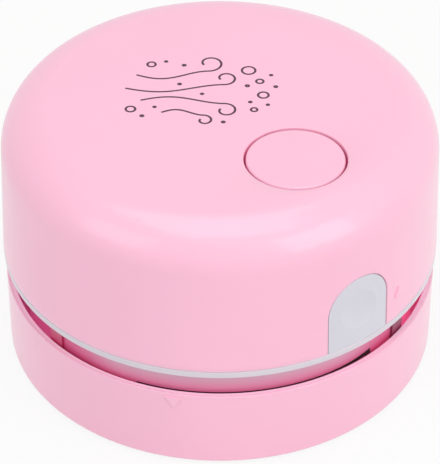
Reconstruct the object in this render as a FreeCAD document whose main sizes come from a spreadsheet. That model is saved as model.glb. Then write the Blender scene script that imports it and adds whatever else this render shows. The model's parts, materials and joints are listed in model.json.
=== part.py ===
import FreeCAD, Part
import math
import os
import re

import Sketcher

# Desktop mini vacuum cleaner. Millimetres, +Z up, origin on the desk under the middle of the body.
# The front, with the push button and the arch tab, faces -Y. Angles round the body are counted
# from the front towards +X, in degrees.

SIZES = [
    # outer shells
    ("shell_radius", 42.5),
    ("shell_taper", 1.1),
    ("shell_wall", 2.0),
    ("shoulder_round", 8.9),
    ("edge_round", 0.5),
    ("cover_height", 30.25),
    ("seam_gap", 0.15),
    ("slide_gap", 0.3),
    # chassis
    ("lip_top", 23.6),
    ("lip_thickness", 1.6),
    ("spigot_height", 3.5),
    ("spigot_wall", 1.4),
    ("skirt_wall", 1.4),
    ("skirt_reach", 7.4),
    ("skirt_centre", -34.2),
    ("skirt_sweep", 110.4),
    ("skirt_rib_sweep", 4.9),
    ("skirt_rib_height", 0.4),
    ("exhaust_centre", -26.3),
    ("exhaust_sweep", 67.5),
    ("exhaust_rise", 2.1),
    # arch tab
    ("arch_width", 14.1),
    ("arch_height", 14.7),
    ("tab_recess", 0.6),
    ("tab_gap", 0.25),
    ("tab_wall", 1.3),
    ("tab_overlap", 1.4),
    ("dish_radius", 9.0),
    ("dish_depth", 0.7),
    # dust cup
    ("foot_height", 0.6),
    ("foot_radius", 3.0),
    ("foot_circle", 35.0),
    ("cup_step", 0.3),
    ("cup_height", 16.7),
    ("cup_wall", 1.2),
    ("cup_floor", 2.0),
    ("cup_bottom_round", 1.0),
    ("rim_round", 0.35),
    ("groove_gap", 0.6),
    ("collar_wall", 1.4),
    ("collar_window_rise", 4.6),
    ("duct_length", 44.0),
    ("duct_width", 8.0),
    ("duct_wall", 1.4),
    ("duct_rise", 6.4),
    # bayonet
    ("lug_reach", 1.2),
    ("lug_thickness", 1.4),
    ("lug_sweep", 22.0),
    ("lug_centre", 63.6),
    ("lug_gap", 0.5),
    ("stop_sweep", 3.0),
    # nozzle
    ("nozzle_margin", 8.0),
    ("nozzle_thickness", 1.0),
    ("brush_thickness", 1.6),
    ("brush_clearance", 0.15),
    ("brush_offset", 1.6),
    ("snap_reach", 0.4),
    ("snap_rise", 0.8),
    # filter
    ("filter_thickness", 2.2),
    ("filter_rim", 4.0),
    ("filter_ledge", 1.4),
    ("mesh_thickness", 0.6),
    ("filter_bar", 1.6),
    ("gasket_thickness", 0.6),
    ("gasket_width", 1.5),
    # fan
    ("fan_depth", 5.7),
    ("housing_wall", 1.4),
    ("inlet_plate", 1.2),
    ("inlet_radius", 11.0),
    ("fan_boss_radius", 2.4),
    ("fan_boss_bite", 0.4),
    ("fan_screw_lead", 30.0),
    ("fan_screw_trail", 26.0),
    ("impeller_radius", 26.8),
    ("impeller_gap", 0.6),
    ("impeller_disc", 0.8),
    ("blade_count", 9),
    ("blade_thickness", 0.9),
    ("blade_curve", 18.0),
    ("blade_centre", 16.0),
    ("hub_radius", 5.0),
    # motor
    ("motor_radius", 10.2),
    ("motor_flat", 7.6),
    ("motor_length", 25.1),
    ("motor_wall", 0.6),
    ("motor_boss", 3.0),
    ("shaft_radius", 1.0),
    ("shaft_gap", 0.05),
    ("bush_radius", 2.4),
    ("bush_length", 3.0),
    ("end_cap_thickness", 1.8),
    ("terminal_height", 1.8),
    ("terminal_width", 2.4),
    ("terminal_offset", 7.0),
    ("armature_radius", 6.6),
    ("armature_length", 13.0),
    ("pole_shoe", 1.1),
    ("pole_neck", 1.6),
    ("pole_sweep", 96.0),
    ("winding_width", 1.1),
    ("winding_gap", 0.7),
    ("magnet_thickness", 1.6),
    ("magnet_sweep", 84.0),
    ("cradle_wall", 1.4),
    ("cradle_height", 12.4),
    ("cradle_ear", 3.6),
    ("ear_thickness", 2.0),
    # batteries: AA cells
    ("cell_radius", 7.0),
    ("cell_length", 50.2),
    ("cell_nub_radius", 2.6),
    ("cell_nub_length", 1.0),
    ("cell_spacing", 37.2),
    ("cell_lift", 0.4),
    ("contact_thickness", 0.4),
    ("contact_width", 10.0),
    ("contact_height", 9.0),
    ("spring_room", 1.8),
    ("contact_wire", 0.2),
    ("contact_turns", 2),
    ("tray_wall", 1.2),
    ("tray_floor", 1.4),
    ("tray_rise", 8.0),
    ("tray_side_length", 36.0),
    ("saddle_rise", 4.0),
    # button
    ("button_offset", 22.7),
    ("button_hole_radius", 9.6),
    ("button_gap", 0.45),
    ("button_travel", 1.5),
    ("button_wall", 1.75),
    ("button_skirt", 7.3),
    ("button_edge_round", 0.5),
    ("button_flange", 1.75),
    ("flange_thickness", 1.2),
    ("guide_wall", 1.4),
    ("stem_radius", 2.2),
    ("stem_reach", 14.7),
    ("retainer_thickness", 1.4),
    ("retainer_drop", 9.4),
    ("retainer_half_width", 5.5),
    ("retainer_screw_offset", 14.0),
    ("retainer_boss_radius", 2.5),
    ("spring_radius", 5.0),
    ("spring_wire", 0.35),
    ("spring_turns", 5),
    # switch
    ("switch_width", 8.0),
    ("switch_height", 7.2),
    ("plunger_radius", 1.5),
    ("plunger_gap", 0.08),
    ("plunger_hidden", 3.6),
    ("board_thickness", 1.6),
    ("board_half_width", 8.0),
    ("board_half_depth", 6.4),
    ("board_lift", 3.4),
    ("post_radius", 1.9),
    # fasteners and leads
    ("screw_radius", 1.0),
    ("screw_head_radius", 1.8),
    ("screw_head_height", 1.1),
    ("screw_bite", 5.0),
    ("recess_length", 2.2),
    ("recess_width", 0.5),
    ("screw_gap", 0.05),
    ("lead_radius", 0.55),
    ("lead_end", 0.12),
]

# Sizes that follow from those above.
DERIVED = {
    "deck_under": "lip_top - lip_thickness",
    "cover_foot": "lip_top + seam_gap",
    "roof_top": "cover_foot + cover_height",
    "roof_under": "roof_top - shell_wall",
    "cover_bore": "shell_radius - shell_wall",
    "spigot_outer": "cover_bore - slide_gap",
    "spigot_inner": "spigot_outer - spigot_wall",
    "cup_radius": "shell_radius - cup_step",
    "cup_bottom": "foot_height",
    "cup_rim": "cup_bottom + cup_height",
    "cup_inside": "cup_radius - cup_wall",
    "floor_top": "cup_bottom + cup_floor",
    "skirt_outer": "cup_inside - groove_gap - 0.1",
    "skirt_inner": "skirt_outer - skirt_wall",
    "skirt_bottom": "deck_under - skirt_reach",
    "collar_outer": "skirt_inner - groove_gap",
    "collar_inner": "collar_outer - collar_wall",
    "collar_top": "deck_under - 2 * slide_gap",
    "collar_window_low": "skirt_bottom - 0.8",
    "cup_lug_low": "collar_top - lug_thickness",
    "housing_lug_outer": "collar_inner - lug_gap",
    "housing_outer": "housing_lug_outer - lug_reach",
    "housing_inner": "housing_outer - housing_wall",
    "housing_low": "deck_under - fan_depth",
    "housing_lug_top": "cup_lug_low - slide_gap",
    "inlet_low": "housing_low - inlet_plate",
    "gasket_low": "inlet_low - gasket_thickness",
    "filter_top": "gasket_low - slide_gap",
    "filter_low": "filter_top - filter_thickness",
    "filter_outer": "collar_inner - slide_gap",
    "fan_boss_circle": "housing_inner - fan_boss_radius + fan_boss_bite",
    "arch_half": "arch_width / 2",
    "arch_top": "cover_foot + arch_height",
    "tab_face": "shell_radius - tab_recess - shell_taper * arch_height / cover_height / 2",
    "tab_back_outer": "cover_bore - shell_taper * (arch_height + tab_overlap) / cover_height - slide_gap",
    "motor_top": "lip_top + motor_length",
    "shaft_low": "housing_low + impeller_gap + 0.3",
    "impeller_low": "housing_low + impeller_gap",
    "impeller_top": "deck_under - impeller_gap",
    "cell_axis": "lip_top + tray_floor + cell_lift + cell_radius",
    "cell_x": "cell_spacing / 2",
    "bay_half": "(cell_length + spring_room) / 2 + contact_thickness",
    "tray_inner_x": "cell_x - cell_radius - slide_gap - tray_wall",
    "tray_outer_x": "cell_x + cell_radius + slide_gap + tray_wall",
    "tray_end_x": "cell_x + contact_width / 2 + 0.4",
    "button_radius": "button_hole_radius - button_gap",
    "button_low": "roof_top - button_skirt",
    "guide_low": "button_low + slide_gap",
    "button_flange_radius": "button_radius + button_flange",
    "stem_low": "roof_top - stem_reach",
    "retainer_top": "roof_under - retainer_drop",
    "plunger_top": "stem_low - slide_gap",
    "board_low": "lip_top + board_lift",
    "board_top": "board_low + board_thickness",
    "switch_top": "board_top + switch_height",
}

WORD = re.compile(r"\b[a-z][a-z_]*\b(?!\()")
UP = FreeCAD.Vector(0, 0, 1)
ALONG_X = FreeCAD.Rotation(FreeCAD.Vector(0, 1, 0), 90)
ALONG_Y = FreeCAD.Rotation(FreeCAD.Vector(1, 0, 0), -90)
SIDES = {"left": -1, "right": 1}
OPPOSITE = (0, 180)
ARCS_PER_TURN = 8

doc = FreeCAD.newDocument("mini_vacuum")
sheet = doc.addObject("Spreadsheet::Sheet", "Sizes")
for row, (alias, value) in enumerate(SIZES, 1):
    sheet.set("A%d" % row, alias)
    sheet.set("B%d" % row, str(value))
    sheet.setAlias("B%d" % row, alias)
doc.recompute()

parts = []


# --- formulas and primitives ---------------------------------------------------------------------


def formula(text):
    """The formula with derived sizes written out and driving sizes read from the sheet."""

    def term(match):
        word = match.group(0)
        if word in DERIVED:
            return "(" + formula(DERIVED[word]) + ")"
        return word if word == "deg" else "Sizes." + word

    return WORD.sub(term, str(text))


def number(text):
    """The value of a formula."""
    return float(sheet.evalExpression(formula(text)))


def bind(thing, **fields):
    """Ties fields of an object to formulas; two underscores stand for a dot."""
    for field, text in fields.items():
        thing.setExpression(field.replace("__", "."), formula(text))


def move(thing, x="0", y="0", z="0"):
    """Ties an object's place to formulas."""
    bind(thing, Placement__Base__x=x, Placement__Base__y=y, Placement__Base__z=z)
    return thing


def turn(thing, angle):
    """Ties an object's angle about Z to a formula."""
    thing.Placement.Rotation = FreeCAD.Rotation(UP, 1)
    bind(thing, Placement__Rotation__Angle=angle)
    return thing


def round_x(radius, angle):
    """X of a point at a radius and an angle from the front."""
    return "(%s) * sin(%s)" % (radius, angle)


def round_y(radius, angle):
    """Y of a point at a radius and an angle from the front."""
    return "-(%s) * cos(%s)" % (radius, angle)


def both(reach):
    """A pair of formulas that reach as far to each side of the middle."""
    return "-(%s)" % reach, "(%s)" % reach


def ordered(first, second):
    """Two formulas, the lower first."""
    return tuple(sorted((first, second), key=number))


def cylinder(name, radius, low, high, x="0", y="0"):
    """Upright cylinder from low to high."""
    solid = doc.addObject("Part::Cylinder", name)
    bind(solid, Radius=radius, Height="(%s) - (%s)" % (high, low))
    return move(solid, x, y, low)


def lying(name, radius, start, end, axis, x="0", y="0", z="0"):
    """Cylinder that lies along X or Y, from start to end."""
    solid = doc.addObject("Part::Cylinder", name)
    bind(solid, Radius=radius, Height="(%s) - (%s)" % (end, start))
    if axis == "X":
        solid.Placement.Rotation = ALONG_X
        return move(solid, start, y, z)
    solid.Placement.Rotation = ALONG_Y
    return move(solid, x, start, z)


def box(name, x, y, z):
    """Box between three pairs of formulas."""
    solid = doc.addObject("Part::Box", name)
    length, width, height = ("(%s) - (%s)" % (high, low) for low, high in (x, y, z))
    bind(solid, Length=length, Width=width, Height=height)
    return move(solid, x[0], y[0], z[0])


def fuse(name, *shapes):
    """Union."""
    joined = doc.addObject("Part::MultiFuse", name)
    joined.Shapes = list(shapes)
    return joined


def cut(name, base, *tools):
    """Base less the tools."""
    difference = doc.addObject("Part::Cut", name)
    difference.Base = base
    difference.Tool = tools[0] if len(tools) == 1 else fuse(name + "_tools", *tools)
    return difference


def common(name, first, second):
    """Intersection."""
    shared = doc.addObject("Part::Common", name)
    shared.Base = first
    shared.Tool = second
    return shared


def group(name, *shapes):
    """Separate solids in one node."""
    together = doc.addObject("Part::Compound", name)
    together.Links = list(shapes)
    return together


def tube(name, outer, inner, low, high, x="0", y="0"):
    """Upright tube; the bore runs past both ends."""
    outside = cylinder(name + "_outside", outer, low, high, x, y)
    bore = cylinder(name + "_bore", inner, "(%s) - 1" % low, "(%s) + 1" % high, x, y)
    return cut(name, outside, bore)


def arc_wall(name, outer, inner, low, high, centre, sweep):
    """Part of a tube about Z, centred on an angle from the front."""
    sector = cylinder(name + "_sector", outer, low, high)
    bind(sector, Angle=sweep)
    turn(sector, "(%s) - (%s) / 2 - 90" % (centre, sweep))
    bore = cylinder(name + "_bore", inner, "(%s) - 1" % low, "(%s) + 1" % high)
    return cut(name, sector, bore)


def keep(label, shape):
    """Names a finished sub-part and puts it on the list to write."""
    shape.Label = label
    parts.append(shape)
    return shape


# --- turned bodies -------------------------------------------------------------------------------


def origin_plane(body, role):
    """One of a body's own origin planes."""
    return next(plane for plane in body.Origin.OriginFeatures if plane.Role == role)


def outline(sketch, corners):
    """Closed outline of straight lines, each corner tied to its two formulas."""
    places = [FreeCAD.Vector(number(across), number(up), 0) for across, up in corners]
    count = len(corners)
    for index, start in enumerate(places):
        sketch.addGeometry(Part.LineSegment(start, places[(index + 1) % count]), False)
    for index in range(count):
        sketch.addConstraint(Sketcher.Constraint("Coincident", index, 2, (index + 1) % count, 1))
    for index, (across, up) in enumerate(corners):
        if across == "0":
            sketch.addConstraint(Sketcher.Constraint("PointOnObject", index, 1, -2))
        else:
            tie(sketch, "DistanceX", index, across)
        tie(sketch, "DistanceY", index, up)


def tie(sketch, kind, index, text):
    """Ties one coordinate of a line's start to a formula."""
    row = sketch.addConstraint(Sketcher.Constraint(kind, index, 1, number(text)))
    sketch.setExpression("Constraints[%d]" % row, formula(text))


def turned(name, corners):
    """Body turned about Z from an outline of (radius, height) corners."""
    body = doc.addObject("PartDesign::Body", name)
    sketch = body.newObject("Sketcher::SketchObject", name + "_profile")
    sketch.AttachmentSupport = [(origin_plane(body, "XZ_Plane"), "")]
    sketch.MapMode = "FlatFace"
    outline(sketch, corners)
    revolution = body.newObject("PartDesign::Revolution", name + "_revolution")
    revolution.Profile = sketch
    revolution.ReferenceAxis = (sketch, ["V_Axis"])
    revolution.Angle = 360
    body.Tip = revolution
    doc.recompute()
    return body


def round_rings(body, radius, *rings):
    """Rounds the circular edges of a body that lie at the given (radius, height) pairs."""
    feature = body.Tip
    wanted = [(number(ring), number(height)) for ring, height in rings]
    names = []
    for index, edge in enumerate(feature.Shape.Edges, 1):
        if not isinstance(edge.Curve, Part.Circle):
            continue
        place = (edge.Curve.Radius, edge.Curve.Center.z)
        if any(math.dist(place, ring) < 0.01 for ring in wanted):
            names.append("Edge%d" % index)
    fillet = body.newObject("PartDesign::Fillet", body.Name + "_round")
    fillet.Base = (feature, names)
    bind(fillet, Radius=radius)
    body.Tip = fillet
    doc.recompute()
    return body


# --- repeated pieces -----------------------------------------------------------------------------


def screw(name, x, y, seat, length, up=True):
    """Cross-recessed screw; its head stands on the seat, above it or, with up=False, below it."""
    sign = 1 if up else -1
    head_ends = ordered(seat, "%s + %d * screw_head_height" % (seat, sign))
    shank_ends = ordered(seat, "%s - %d * (%s)" % (seat, sign, length))
    head = cylinder(name + "_head", "screw_head_radius", *head_ends, x=x, y=y)
    shank = cylinder(name + "_shank", "screw_radius", *shank_ends, x=x, y=y)
    deep = ordered(
        "%s + %d * screw_head_height / 2" % (seat, sign),
        "%s + %d * 2 * screw_head_height" % (seat, sign),
    )
    slots = []
    sizes = ("recess_length", "recess_width")
    for tag, long_way, short_way in (("x", *sizes), ("y", *reversed(sizes))):
        across_x = ("%s - %s / 2" % (x, long_way), "%s + %s / 2" % (x, long_way))
        across_y = ("%s - %s / 2" % (y, short_way), "%s + %s / 2" % (y, short_way))
        slots.append(box("%s_recess_%s" % (name, tag), across_x, across_y, deep))
    return cut(name, fuse(name + "_solid", head, shank), *slots)


def screw_hole(name, x, y, low, high):
    """Pilot hole for a screw."""
    return cylinder(name, "screw_radius + screw_gap", low, high, x, y)


def sink(name, x, y, low, high):
    """Recess for a screw's head."""
    return cylinder(name, "screw_head_radius + 2 * screw_gap", low, high, x, y)


def coil(name, radius, wire, pitch, turns):
    """Open coil spring about Z that starts at z = 0, made of short arcs joined end to end."""
    bend = number(radius)
    rise = number(pitch)

    def at(step):
        angle = 2 * math.pi * step / ARCS_PER_TURN
        return FreeCAD.Vector(bend * math.cos(angle), bend * math.sin(angle), rise * step / ARCS_PER_TURN)

    steps = range(int(number(turns) * ARCS_PER_TURN))
    arcs = [Part.Arc(at(step), at(step + 0.5), at(step + 1)).toShape() for step in steps]
    heading = FreeCAD.Vector(0, bend, rise / (2 * math.pi))
    section = Part.Wire(Part.Circle(at(0), heading, number(wire)).toShape())
    spring = doc.addObject("Part::Feature", name)
    spring.Shape = Part.Wire(arcs).makePipe(Part.Face(section))
    return spring


def lead(name, points, radius):
    """Wire along straight runs joined by tangent arcs."""
    edges = []
    start = points[0]
    for before, corner, after in zip(points, points[1:], points[2:]):
        inward = (before - corner).normalize()
        outward = (after - corner).normalize()
        half_turn = (math.pi - inward.getAngle(outward)) / 2
        reach = 0.45 * min((before - corner).Length, (after - corner).Length)
        bend = reach / math.tan(half_turn)
        first = corner + inward * reach
        last = corner + outward * reach
        bisector = (inward + outward).normalize()
        middle = corner + bisector * (bend / math.cos(half_turn) - bend)
        edges.append(Part.LineSegment(start, first).toShape())
        edges.append(Part.Arc(first, middle, last).toShape())
        start = last
    edges.append(Part.LineSegment(start, points[-1]).toShape())
    path = Part.Wire(edges)
    section = Part.Wire(Part.Circle(points[0], points[1] - points[0], radius).toShape())
    solid = path.makePipe(Part.Face(section))
    feature = doc.addObject("Part::Feature", name)
    feature.Shape = solid
    return feature


def arch(name, half, top, y):
    """Upright arch with a half-round top, from below the lip up, as deep as the y pair."""
    spring_line = "(%s) - (%s)" % (top, half)
    legs = box(name + "_legs", both(half), y, ("deck_under", spring_line))
    crown = lying(name + "_crown", half, y[0], y[1], "Y", z=spring_line)
    return fuse(name, legs, crown)


# --- upper shell ---------------------------------------------------------------------------------


def make_cover():
    """Pink upper shell with its arch notch, button hole, button guide and screw bosses."""
    shell = turned(
        "cover_shell",
        [
            ("0", "roof_top"),
            ("shell_radius - shell_taper", "roof_top"),
            ("shell_radius", "cover_foot"),
            ("cover_bore", "cover_foot"),
            ("cover_bore - shell_taper", "roof_under"),
            ("0", "roof_under"),
        ],
    )
    round_rings(shell, "shoulder_round", ("shell_radius - shell_taper", "roof_top"))
    round_rings(shell, "shoulder_round - shell_wall", ("cover_bore - shell_taper", "roof_under"))
    round_rings(shell, "edge_round", ("shell_radius", "cover_foot"))
    button_y = "-button_offset"
    in_roof = "roof_top - shell_wall / 2"
    guide = cylinder("guide_tube", "button_hole_radius + guide_wall", "guide_low", in_roof, y=button_y)
    solids = [shell, guide]
    holes = [cylinder("button_hole", "button_hole_radius", "guide_low - 1", "roof_top + 1", y=button_y)]
    for side, sign in SIDES.items():
        x = "%d * retainer_screw_offset" % sign
        boss = ("retainer_boss_radius", "retainer_top", in_roof)
        pilot = (x, button_y, "retainer_top - 1", "roof_under - 1")
        solids.append(cylinder("retainer_boss_" + side, *boss, x=x, y=button_y))
        holes.append(screw_hole("retainer_pilot_" + side, *pilot))
    holes.append(arch("arch_notch", "arch_half", "arch_top", ("-shell_radius - 2", "-shell_radius / 2")))
    keep("top_cover", cut("top_cover", fuse("cover_solid", *solids), *holes))


def make_button():
    """Round cap with its flange, stem, return spring and the plate that holds it in."""
    y = "-button_offset"
    body = turned(
        "button_solid",
        [
            ("0", "roof_top"),
            ("button_radius", "roof_top"),
            ("button_radius", "button_low"),
            ("button_flange_radius", "button_low"),
            ("button_flange_radius", "button_low - flange_thickness"),
            ("button_radius - button_wall", "button_low - flange_thickness"),
            ("button_radius - button_wall", "roof_top - button_wall"),
            ("stem_radius", "roof_top - button_wall"),
            ("stem_radius", "stem_low"),
            ("0", "stem_low"),
        ],
    )
    round_rings(body, "button_edge_round", ("button_radius", "roof_top"))
    keep("power_button", move(body, y=y))
    room = "(roof_top - button_wall - retainer_top)"
    pitch = "(%s - 4 * spring_wire) / spring_turns" % room
    spring = coil("button_spring", "spring_radius", "spring_wire", pitch, "spring_turns")
    keep("button_spring", move(spring, y=y, z="retainer_top + 2 * spring_wire"))
    plate_ends = ("retainer_top - retainer_thickness", "retainer_top")
    through = ("retainer_top - 9", "retainer_top + 9")
    under = "retainer_top - retainer_thickness"
    bar = box(
        "retainer_bar",
        both("retainer_screw_offset + retainer_boss_radius"),
        ("%s - retainer_half_width" % y, "%s + retainer_half_width" % y),
        plate_ends,
    )
    disc = cylinder("retainer_disc", "spring_radius + 2.4", *plate_ends, y=y)
    holes = [cylinder("stem_hole", "stem_radius + button_gap", *through, y=y)]
    screws = []
    for side, sign in SIDES.items():
        x = "%d * retainer_screw_offset" % sign
        holes.append(screw_hole("retainer_hole_" + side, x, y, *through))
        length = "retainer_thickness + screw_bite"
        screws.append(screw("retainer_screw_" + side, x, y, under, length, up=False))
    keep("button_retainer", cut("button_retainer", fuse("retainer_solid", bar, disc), *holes))
    keep("retainer_screws", group("retainer_screws", *screws))


# --- chassis -------------------------------------------------------------------------------------


def make_chassis():
    """White middle frame: lip, deck, spigot, skirt in two arcs, arch tab and posts."""
    frame = turned(
        "chassis_frame",
        [
            ("motor_boss + screw_gap", "deck_under"),
            ("shell_radius", "deck_under"),
            ("shell_radius", "lip_top"),
            ("spigot_outer", "lip_top"),
            ("spigot_outer", "lip_top + spigot_height"),
            ("spigot_inner", "lip_top + spigot_height"),
            ("spigot_inner", "lip_top"),
            ("motor_boss + screw_gap", "lip_top"),
        ],
    )
    round_rings(frame, "edge_round * 0.8", ("shell_radius", "deck_under"), ("shell_radius", "lip_top"))
    solids = [frame]
    holes = []
    overlap = "deck_under + lip_thickness / 2"
    for turn_angle in OPPOSITE:
        tag = "_%d" % turn_angle
        centre = "skirt_centre + %d" % turn_angle
        ends = ("skirt_bottom", overlap)
        solids.append(arc_wall("skirt" + tag, "skirt_outer", "skirt_inner", *ends, centre, "skirt_sweep"))
        for side in (-1, 1):
            rib_centre = "%s + %d * (skirt_sweep - skirt_rib_sweep) / 2" % (centre, side)
            solids.append(
                arc_wall(
                    "skirt_rib%s_%d" % (tag, side + 1),
                    "skirt_outer + skirt_rib_height",
                    "skirt_inner + 0.2",
                    *ends,
                    rib_centre,
                    "skirt_rib_sweep",
                )
            )
        holes.append(
            arc_wall(
                "exhaust_notch" + tag,
                "skirt_outer + 1",
                "skirt_inner - 0.5",
                "skirt_bottom - 1",
                "skirt_bottom + exhaust_rise",
                "exhaust_centre + %d" % turn_angle,
                "exhaust_sweep",
            )
        )
    solids.append(arch_tab())
    for index, (x, y) in enumerate(board_posts()):
        solids.append(cylinder("board_post_%d" % index, "post_radius", "lip_top - 0.5", "board_low", x, y))
        holes.append(screw_hole("board_pilot_%d" % index, x, y, "lip_top + 0.4", "board_low + 1"))
    for index, (x, y) in enumerate(tray_screw_places() + cradle_screw_places()):
        holes.append(screw_hole("deck_pilot_%d" % index, x, y, "deck_under - 1", "lip_top + 1"))
    for index, angle in enumerate(fan_screw_angles()):
        x, y = round_x("fan_boss_circle", angle), round_y("fan_boss_circle", angle)
        holes.append(screw_hole("fan_pilot_%d" % index, x, y, "deck_under - 1", "lip_top - 0.4"))
    keep("chassis", cut("chassis", fuse("chassis_solid", *solids), *holes))


def arch_tab():
    """White tab that fills the arch notch, with its backing wall and its finger dish."""
    deep = ("-shell_radius - 2", "-shell_radius / 2")
    tall = ("lip_top - lip_thickness / 2", "roof_top")
    inner = "tab_back_outer - tab_wall"
    face_ring = tube("tab_face_ring", "tab_face", inner, *tall)
    face_shape = arch("tab_shape", "arch_half - tab_gap", "arch_top - tab_gap", deep)
    face = common("tab_face_pad", face_ring, face_shape)
    back_ring = tube("tab_back_ring", "tab_back_outer", inner, *tall)
    back_shape = arch("tab_back_shape", "arch_half + tab_overlap", "arch_top + tab_overlap", deep)
    back = common("tab_back", back_ring, back_shape)
    dish = doc.addObject("Part::Sphere", "tab_dish")
    bind(dish, Radius="dish_radius")
    move(dish, y="-(tab_face + dish_radius - dish_depth)", z="lip_top + arch_height / 2")
    return cut("arch_tab", fuse("tab_solid", face, back), dish)


def board_posts():
    """Places of the posts under the switch board."""
    across = "(board_half_width - post_radius - 0.3)"
    along = "(board_half_depth - post_radius - 0.2)"
    return [
        ("%d * %s" % (side, across), "-button_offset + %d * %s" % (way, along))
        for side in (-1, 1)
        for way in (-1, 1)
    ]


def fan_screw_angles():
    """Angles of the fan housing's screws, clear of its windows."""
    return ["lug_centre - fan_screw_lead", "lug_centre + fan_screw_trail", "lug_centre + 180"]


def tray_screw_places():
    """Places of the screws that hold the battery trays."""
    x = "(tray_inner_x + screw_head_radius + 1)"
    y = "(bay_half - screw_head_radius - 0.6)"
    return [("%d * %s" % (side, x), "%d * %s" % (way, y)) for side in (-1, 1) for way in (-1, 1)]


def cradle_screw_places():
    """Places of the screws that hold the motor cradle."""
    return [("0", "%d * (motor_radius + cradle_wall + cradle_ear / 2)" % way) for way in (-1, 1)]


# --- dust cup ------------------------------------------------------------------------------------


def make_cup():
    """Pink dust cup: outer wall, floor, collar with windows, and bayonet lugs."""
    shell = turned(
        "cup_shell",
        [
            ("0", "cup_bottom"),
            ("cup_radius", "cup_bottom"),
            ("cup_radius", "cup_rim"),
            ("cup_inside", "cup_rim"),
            ("cup_inside", "floor_top"),
            ("collar_outer", "floor_top"),
            ("collar_outer", "collar_top"),
            ("collar_inner", "collar_top"),
            ("collar_inner", "filter_low"),
            ("collar_inner - filter_ledge", "filter_low"),
            ("collar_inner - filter_ledge", "filter_low - filter_ledge"),
            ("collar_inner", "filter_low - 2 * filter_ledge"),
            ("collar_inner", "floor_top"),
            ("0", "floor_top"),
        ],
    )
    round_rings(shell, "cup_bottom_round", ("cup_radius", "cup_bottom"))
    round_rings(shell, "rim_round", ("cup_radius", "cup_rim"), ("cup_inside", "cup_rim"))
    solids = [shell]
    around = "duct_wall + slide_gap / 2"
    passage = ("duct_length / 2 + " + around, "duct_width / 2 + " + around)
    holes = [slot_shape("duct_passage", *passage, "-1", "floor_top + 1")]
    holes.append(
        slot_shape(
            "nozzle_recess",
            "duct_length / 2 + nozzle_margin",
            "duct_width / 2 + nozzle_margin",
            "-1",
            "cup_bottom + nozzle_thickness",
        )
    )
    for turn_angle in OPPOSITE:
        tag = "_%d" % turn_angle
        solids.append(
            arc_wall(
                "cup_lug" + tag,
                "collar_inner + 0.3",
                "housing_outer + lug_gap",
                "cup_lug_low",
                "collar_top",
                "lug_centre + %d" % turn_angle,
                "lug_sweep",
            )
        )
        holes.append(
            arc_wall(
                "collar_window" + tag,
                "collar_outer + 0.3",
                "collar_inner - 0.2",
                "collar_window_low",
                "collar_window_low + collar_window_rise",
                "exhaust_centre + %d" % turn_angle,
                "exhaust_sweep - 2",
            )
        )
    keep("dust_cup", cut("dust_cup", fuse("cup_solid", *solids), *holes))
    feet = []
    for index in range(4):
        angle = "45 + %d" % (90 * index)
        x, y = round_x("foot_circle", angle), round_y("foot_circle", angle)
        feet.append(cylinder("foot_%d" % index, "foot_radius", "0", "foot_height", x, y))
    keep("foot_pads", group("foot_pads", *feet))


def slot_shape(name, half_length, half_width, low, high):
    """Upright prism with round ends, along X."""
    straight = "(%s) - (%s)" % (half_length, half_width)
    middle = box(name + "_middle", both(straight), both(half_width), (low, high))
    ends = [
        cylinder("%s_end_%s" % (name, side), half_width, low, high, x="%d * (%s)" % (sign, straight))
        for side, sign in SIDES.items()
    ]
    return fuse(name, middle, *ends)


def make_nozzle():
    """Plate with the suction duct that stands up into the cup and snaps in its floor, and brush strips."""
    ends = ("cup_bottom", "cup_bottom + nozzle_thickness")
    plate = slot_shape(
        "nozzle_plate",
        "duct_length / 2 + nozzle_margin - slide_gap / 2",
        "duct_width / 2 + nozzle_margin - slide_gap / 2",
        *ends,
    )
    duct_outside = ("duct_length / 2 + duct_wall", "duct_width / 2 + duct_wall")
    duct = slot_shape("duct", *duct_outside, "cup_bottom", "floor_top + duct_rise")
    bead_outside = [reach + " + snap_reach" for reach in duct_outside]
    bead = slot_shape("snap_bead", *bead_outside, "floor_top + slide_gap / 2", "floor_top + snap_rise")
    holes = [slot_shape("duct_way", "duct_length / 2", "duct_width / 2", "-1", "floor_top + duct_rise + 1")]
    strips = []
    for index, way in enumerate((-1, 1)):
        near = "duct_width / 2 + brush_offset"
        span = ordered("%d * (%s)" % (way, near), "%d * (%s + brush_thickness)" % (way, near))
        length = both("duct_length / 2 - duct_width / 2")
        height = ("brush_clearance", "cup_bottom + nozzle_thickness")
        holes.append(box("brush_seat_%d" % index, length, span, ("-1", "floor_top")))
        strips.append(box("brush_strip_%d" % index, length, span, height))
    keep("nozzle_frame", cut("nozzle_frame", fuse("nozzle_solid", plate, duct, bead), *holes))
    keep("brush_strips", group("brush_strips", *strips))


def make_filter():
    """Lift-out filter: a rim with cross bars and a fine mesh disc on them."""
    rim = tube("filter_rim", "filter_outer", "filter_outer - filter_rim", "filter_low", "filter_top")
    bars = []
    mesh_low = "filter_top - 2 * mesh_thickness"
    for index in range(3):
        bar = box(
            "filter_bar_%d" % index,
            both("filter_outer - filter_rim / 2"),
            both("filter_bar / 2"),
            ("filter_low", mesh_low),
        )
        hub = cylinder("filter_hub_%d" % index, "filter_bar * 1.6", "filter_low", mesh_low)
        spun = fuse("filter_spoke_%d" % index, bar, hub)
        spun.Placement.Rotation = FreeCAD.Rotation(UP, 60 * index)
        bars.append(spun)
    grip = tube("filter_grip", "filter_bar * 1.6", "filter_bar * 0.8", "filter_low - 1.2", "filter_low")
    keep("filter_frame", fuse("filter_frame", rim, *bars, grip))
    mesh = cylinder("filter_mesh", "filter_outer - filter_rim", mesh_low, "%s + mesh_thickness" % mesh_low)
    keep("filter_mesh", mesh)


# --- fan -----------------------------------------------------------------------------------------


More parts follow.
